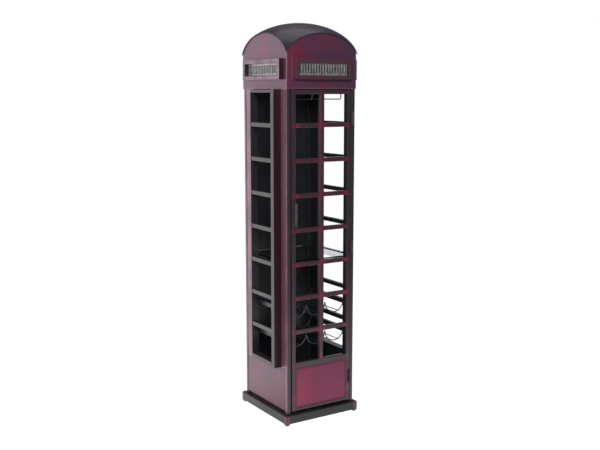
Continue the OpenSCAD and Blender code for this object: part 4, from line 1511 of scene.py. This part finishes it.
class BOOTH_OT_stage(bpy.types.Operator):
    """Set up the floor, the lights, the surroundings and the camera"""

    bl_idname = "booth.stage"
    bl_label = "Studio"

    def execute(self, context):
        self.floor()
        self.surroundings()
        self.lights()
        self.camera()
        context.scene.view_settings.view_transform = "Standard"
        return {"FINISHED"}

    def floor(self):
        studio = bpy.context.scene.booth_studio
        deselect()
        bpy.ops.mesh.primitive_plane_add(size=studio.floor_size)
        floor = named("studio_floor")
        finish, tree, shader = new_material("Pale floor")
        place = object_place(tree)
        away = vector_maths(tree, "LENGTH", place, result="Value")
        path = put(tree, "ShaderNodeLightPath").outputs
        seen = maths(tree, "MAXIMUM", path["Is Camera Ray"], path["Is Transmission Ray"])
        back = put(tree, "ShaderNodeSeparateXYZ", {0: place}).outputs["Y"]
        round_about = ramp(tree, away, studio.sweep_radius, 0.5 * studio.sweep_radius)
        behind = ramp(tree, back, -0.6, 0.6)
        near = maths(tree, "MULTIPLY", round_about, studio.floor_glow)
        lit = maths(tree, "MAXIMUM", near, maths(tree, "MULTIPLY", behind,
                                                 studio.backdrop_glow))
        glow = put(tree, "ShaderNodeMix", {0: seen, 2: lit, 3: 0.97}).outputs[0]
        shader.inputs["Base Color"].default_value = (0.35, 0.35, 0.35, 1)
        shader.inputs["Specular IOR Level"].default_value = 0
        shader.inputs["Roughness"].default_value = 0.9
        shader.inputs["Emission Color"].default_value = (1, 1, 1, 1)
        tree.links.new(glow, shader.inputs["Emission Strength"])
        floor.data.materials.append(finish)

    def surroundings(self):
        """White to the lens and through glass; to the lacquer, a bright wall behind."""
        world = bpy.data.worlds.new("Studio")
        world.use_nodes = True
        bpy.context.scene.world = world
        tree = world.node_tree
        background = tree.nodes["Background"]
        path = put(tree, "ShaderNodeLightPath").outputs
        open_view = maths(tree, "MAXIMUM", path["Is Camera Ray"], path["Is Transmission Ray"])
        way = put(tree, "ShaderNodeTexCoord").outputs["Generated"]
        parts = put(tree, "ShaderNodeSeparateXYZ", {0: way}).outputs
        glow = bpy.context.scene.booth_studio.backdrop_glow
        behind = ramp(tree, parts["Y"], -0.15, 0.35)
        below = ramp(tree, parts["Z"], 0.36, 0.10)
        wall = maths(tree, "MULTIPLY", maths(tree, "MULTIPLY", behind, below), glow)
        room = maths(tree, "ADD", wall, bpy.context.scene.booth_studio.room_glow)
        strength = put(tree, "ShaderNodeMix", {0: open_view, 2: room, 3: 1.0}).outputs[0]
        tree.links.new(strength, background.inputs["Strength"])
        cool = blend_colours(tree, open_view, (0.94, 0.96, 1.0), (1, 1, 1))
        tree.links.new(cool, background.inputs["Color"])

    def lights(self):
        studio = bpy.context.scene.booth_studio
        middle = Vector((0, 0, 0.9))
        for name, place, size, power in (
                ("key_softbox", Vector((-1.6, -3.2, 2.6)), 1.6, studio.key_glow),
                ("top_softbox", Vector((0.2, 0.2, 3.4)), 1.6, studio.top_glow)):
            bpy.ops.object.light_add(type="AREA", location=place)
            light = bpy.context.active_object
            light.name = name
            light.rotation_euler = (place - middle).to_track_quat("Z", "Y").to_euler()
            light.data.size = size
            light.data.energy = power
            light.visible_camera = False

    def camera(self):
        studio = bpy.context.scene.booth_studio
        turned = studio.camera_turn
        place = Vector((-math.sin(turned) * studio.camera_away,
                        -math.cos(turned) * studio.camera_away, studio.camera_height))
        bpy.ops.object.camera_add(location=place)
        camera = bpy.context.active_object
        camera.rotation_euler = (math.pi / 2 - studio.camera_pitch, 0,
                                 -(turned + studio.camera_yaw))
        camera.data.lens = studio.lens
        camera.data.sensor_width = SENSOR_WIDTH
        bpy.context.scene.camera = camera


# ---------------------------------------------------------------- add-on


class BOOTH_PT_panel(bpy.types.Panel):
    """Steps that finish the cabinet, in order"""

    bl_idname = "BOOTH_PT_panel"
    bl_label = "Booth Bar Cabinet"
    bl_space_type = "VIEW_3D"
    bl_region_type = "UI"
    bl_category = "Booth"

    def draw(self, context):
        for step in STEPS:
            self.layout.operator(step.bl_idname)


STEPS = (BOOTH_OT_stage, BOOTH_OT_materials, BOOTH_OT_plinth, BOOTH_OT_posts,
         BOOTH_OT_walls, BOOTH_OT_windows, BOOTH_OT_header, BOOTH_OT_roof, BOOTH_OT_signs,
         BOOTH_OT_door, BOOTH_OT_handle, BOOTH_OT_hinges, BOOTH_OT_catch, BOOTH_OT_racks,
         BOOTH_OT_shelf)
CLASSES = (BoothSizes, BoothColours, BoothStudio, *STEPS, BOOTH_PT_panel)


def register():
    for made in CLASSES:
        bpy.utils.register_class(made)
    bpy.types.Scene.booth_sizes = bpy.props.PointerProperty(type=BoothSizes)
    bpy.types.Scene.booth_colours = bpy.props.PointerProperty(type=BoothColours)
    bpy.types.Scene.booth_studio = bpy.props.PointerProperty(type=BoothStudio)


def unregister():
    del bpy.types.Scene.booth_studio
    del bpy.types.Scene.booth_colours
    del bpy.types.Scene.booth_sizes
    for made in reversed(CLASSES):
        bpy.utils.unregister_class(made)


def main():
    register()
    for step in STEPS:
        group, name = step.bl_idname.split(".")
        getattr(getattr(bpy.ops, group), name)()


if __name__ == "__main__":
    main()
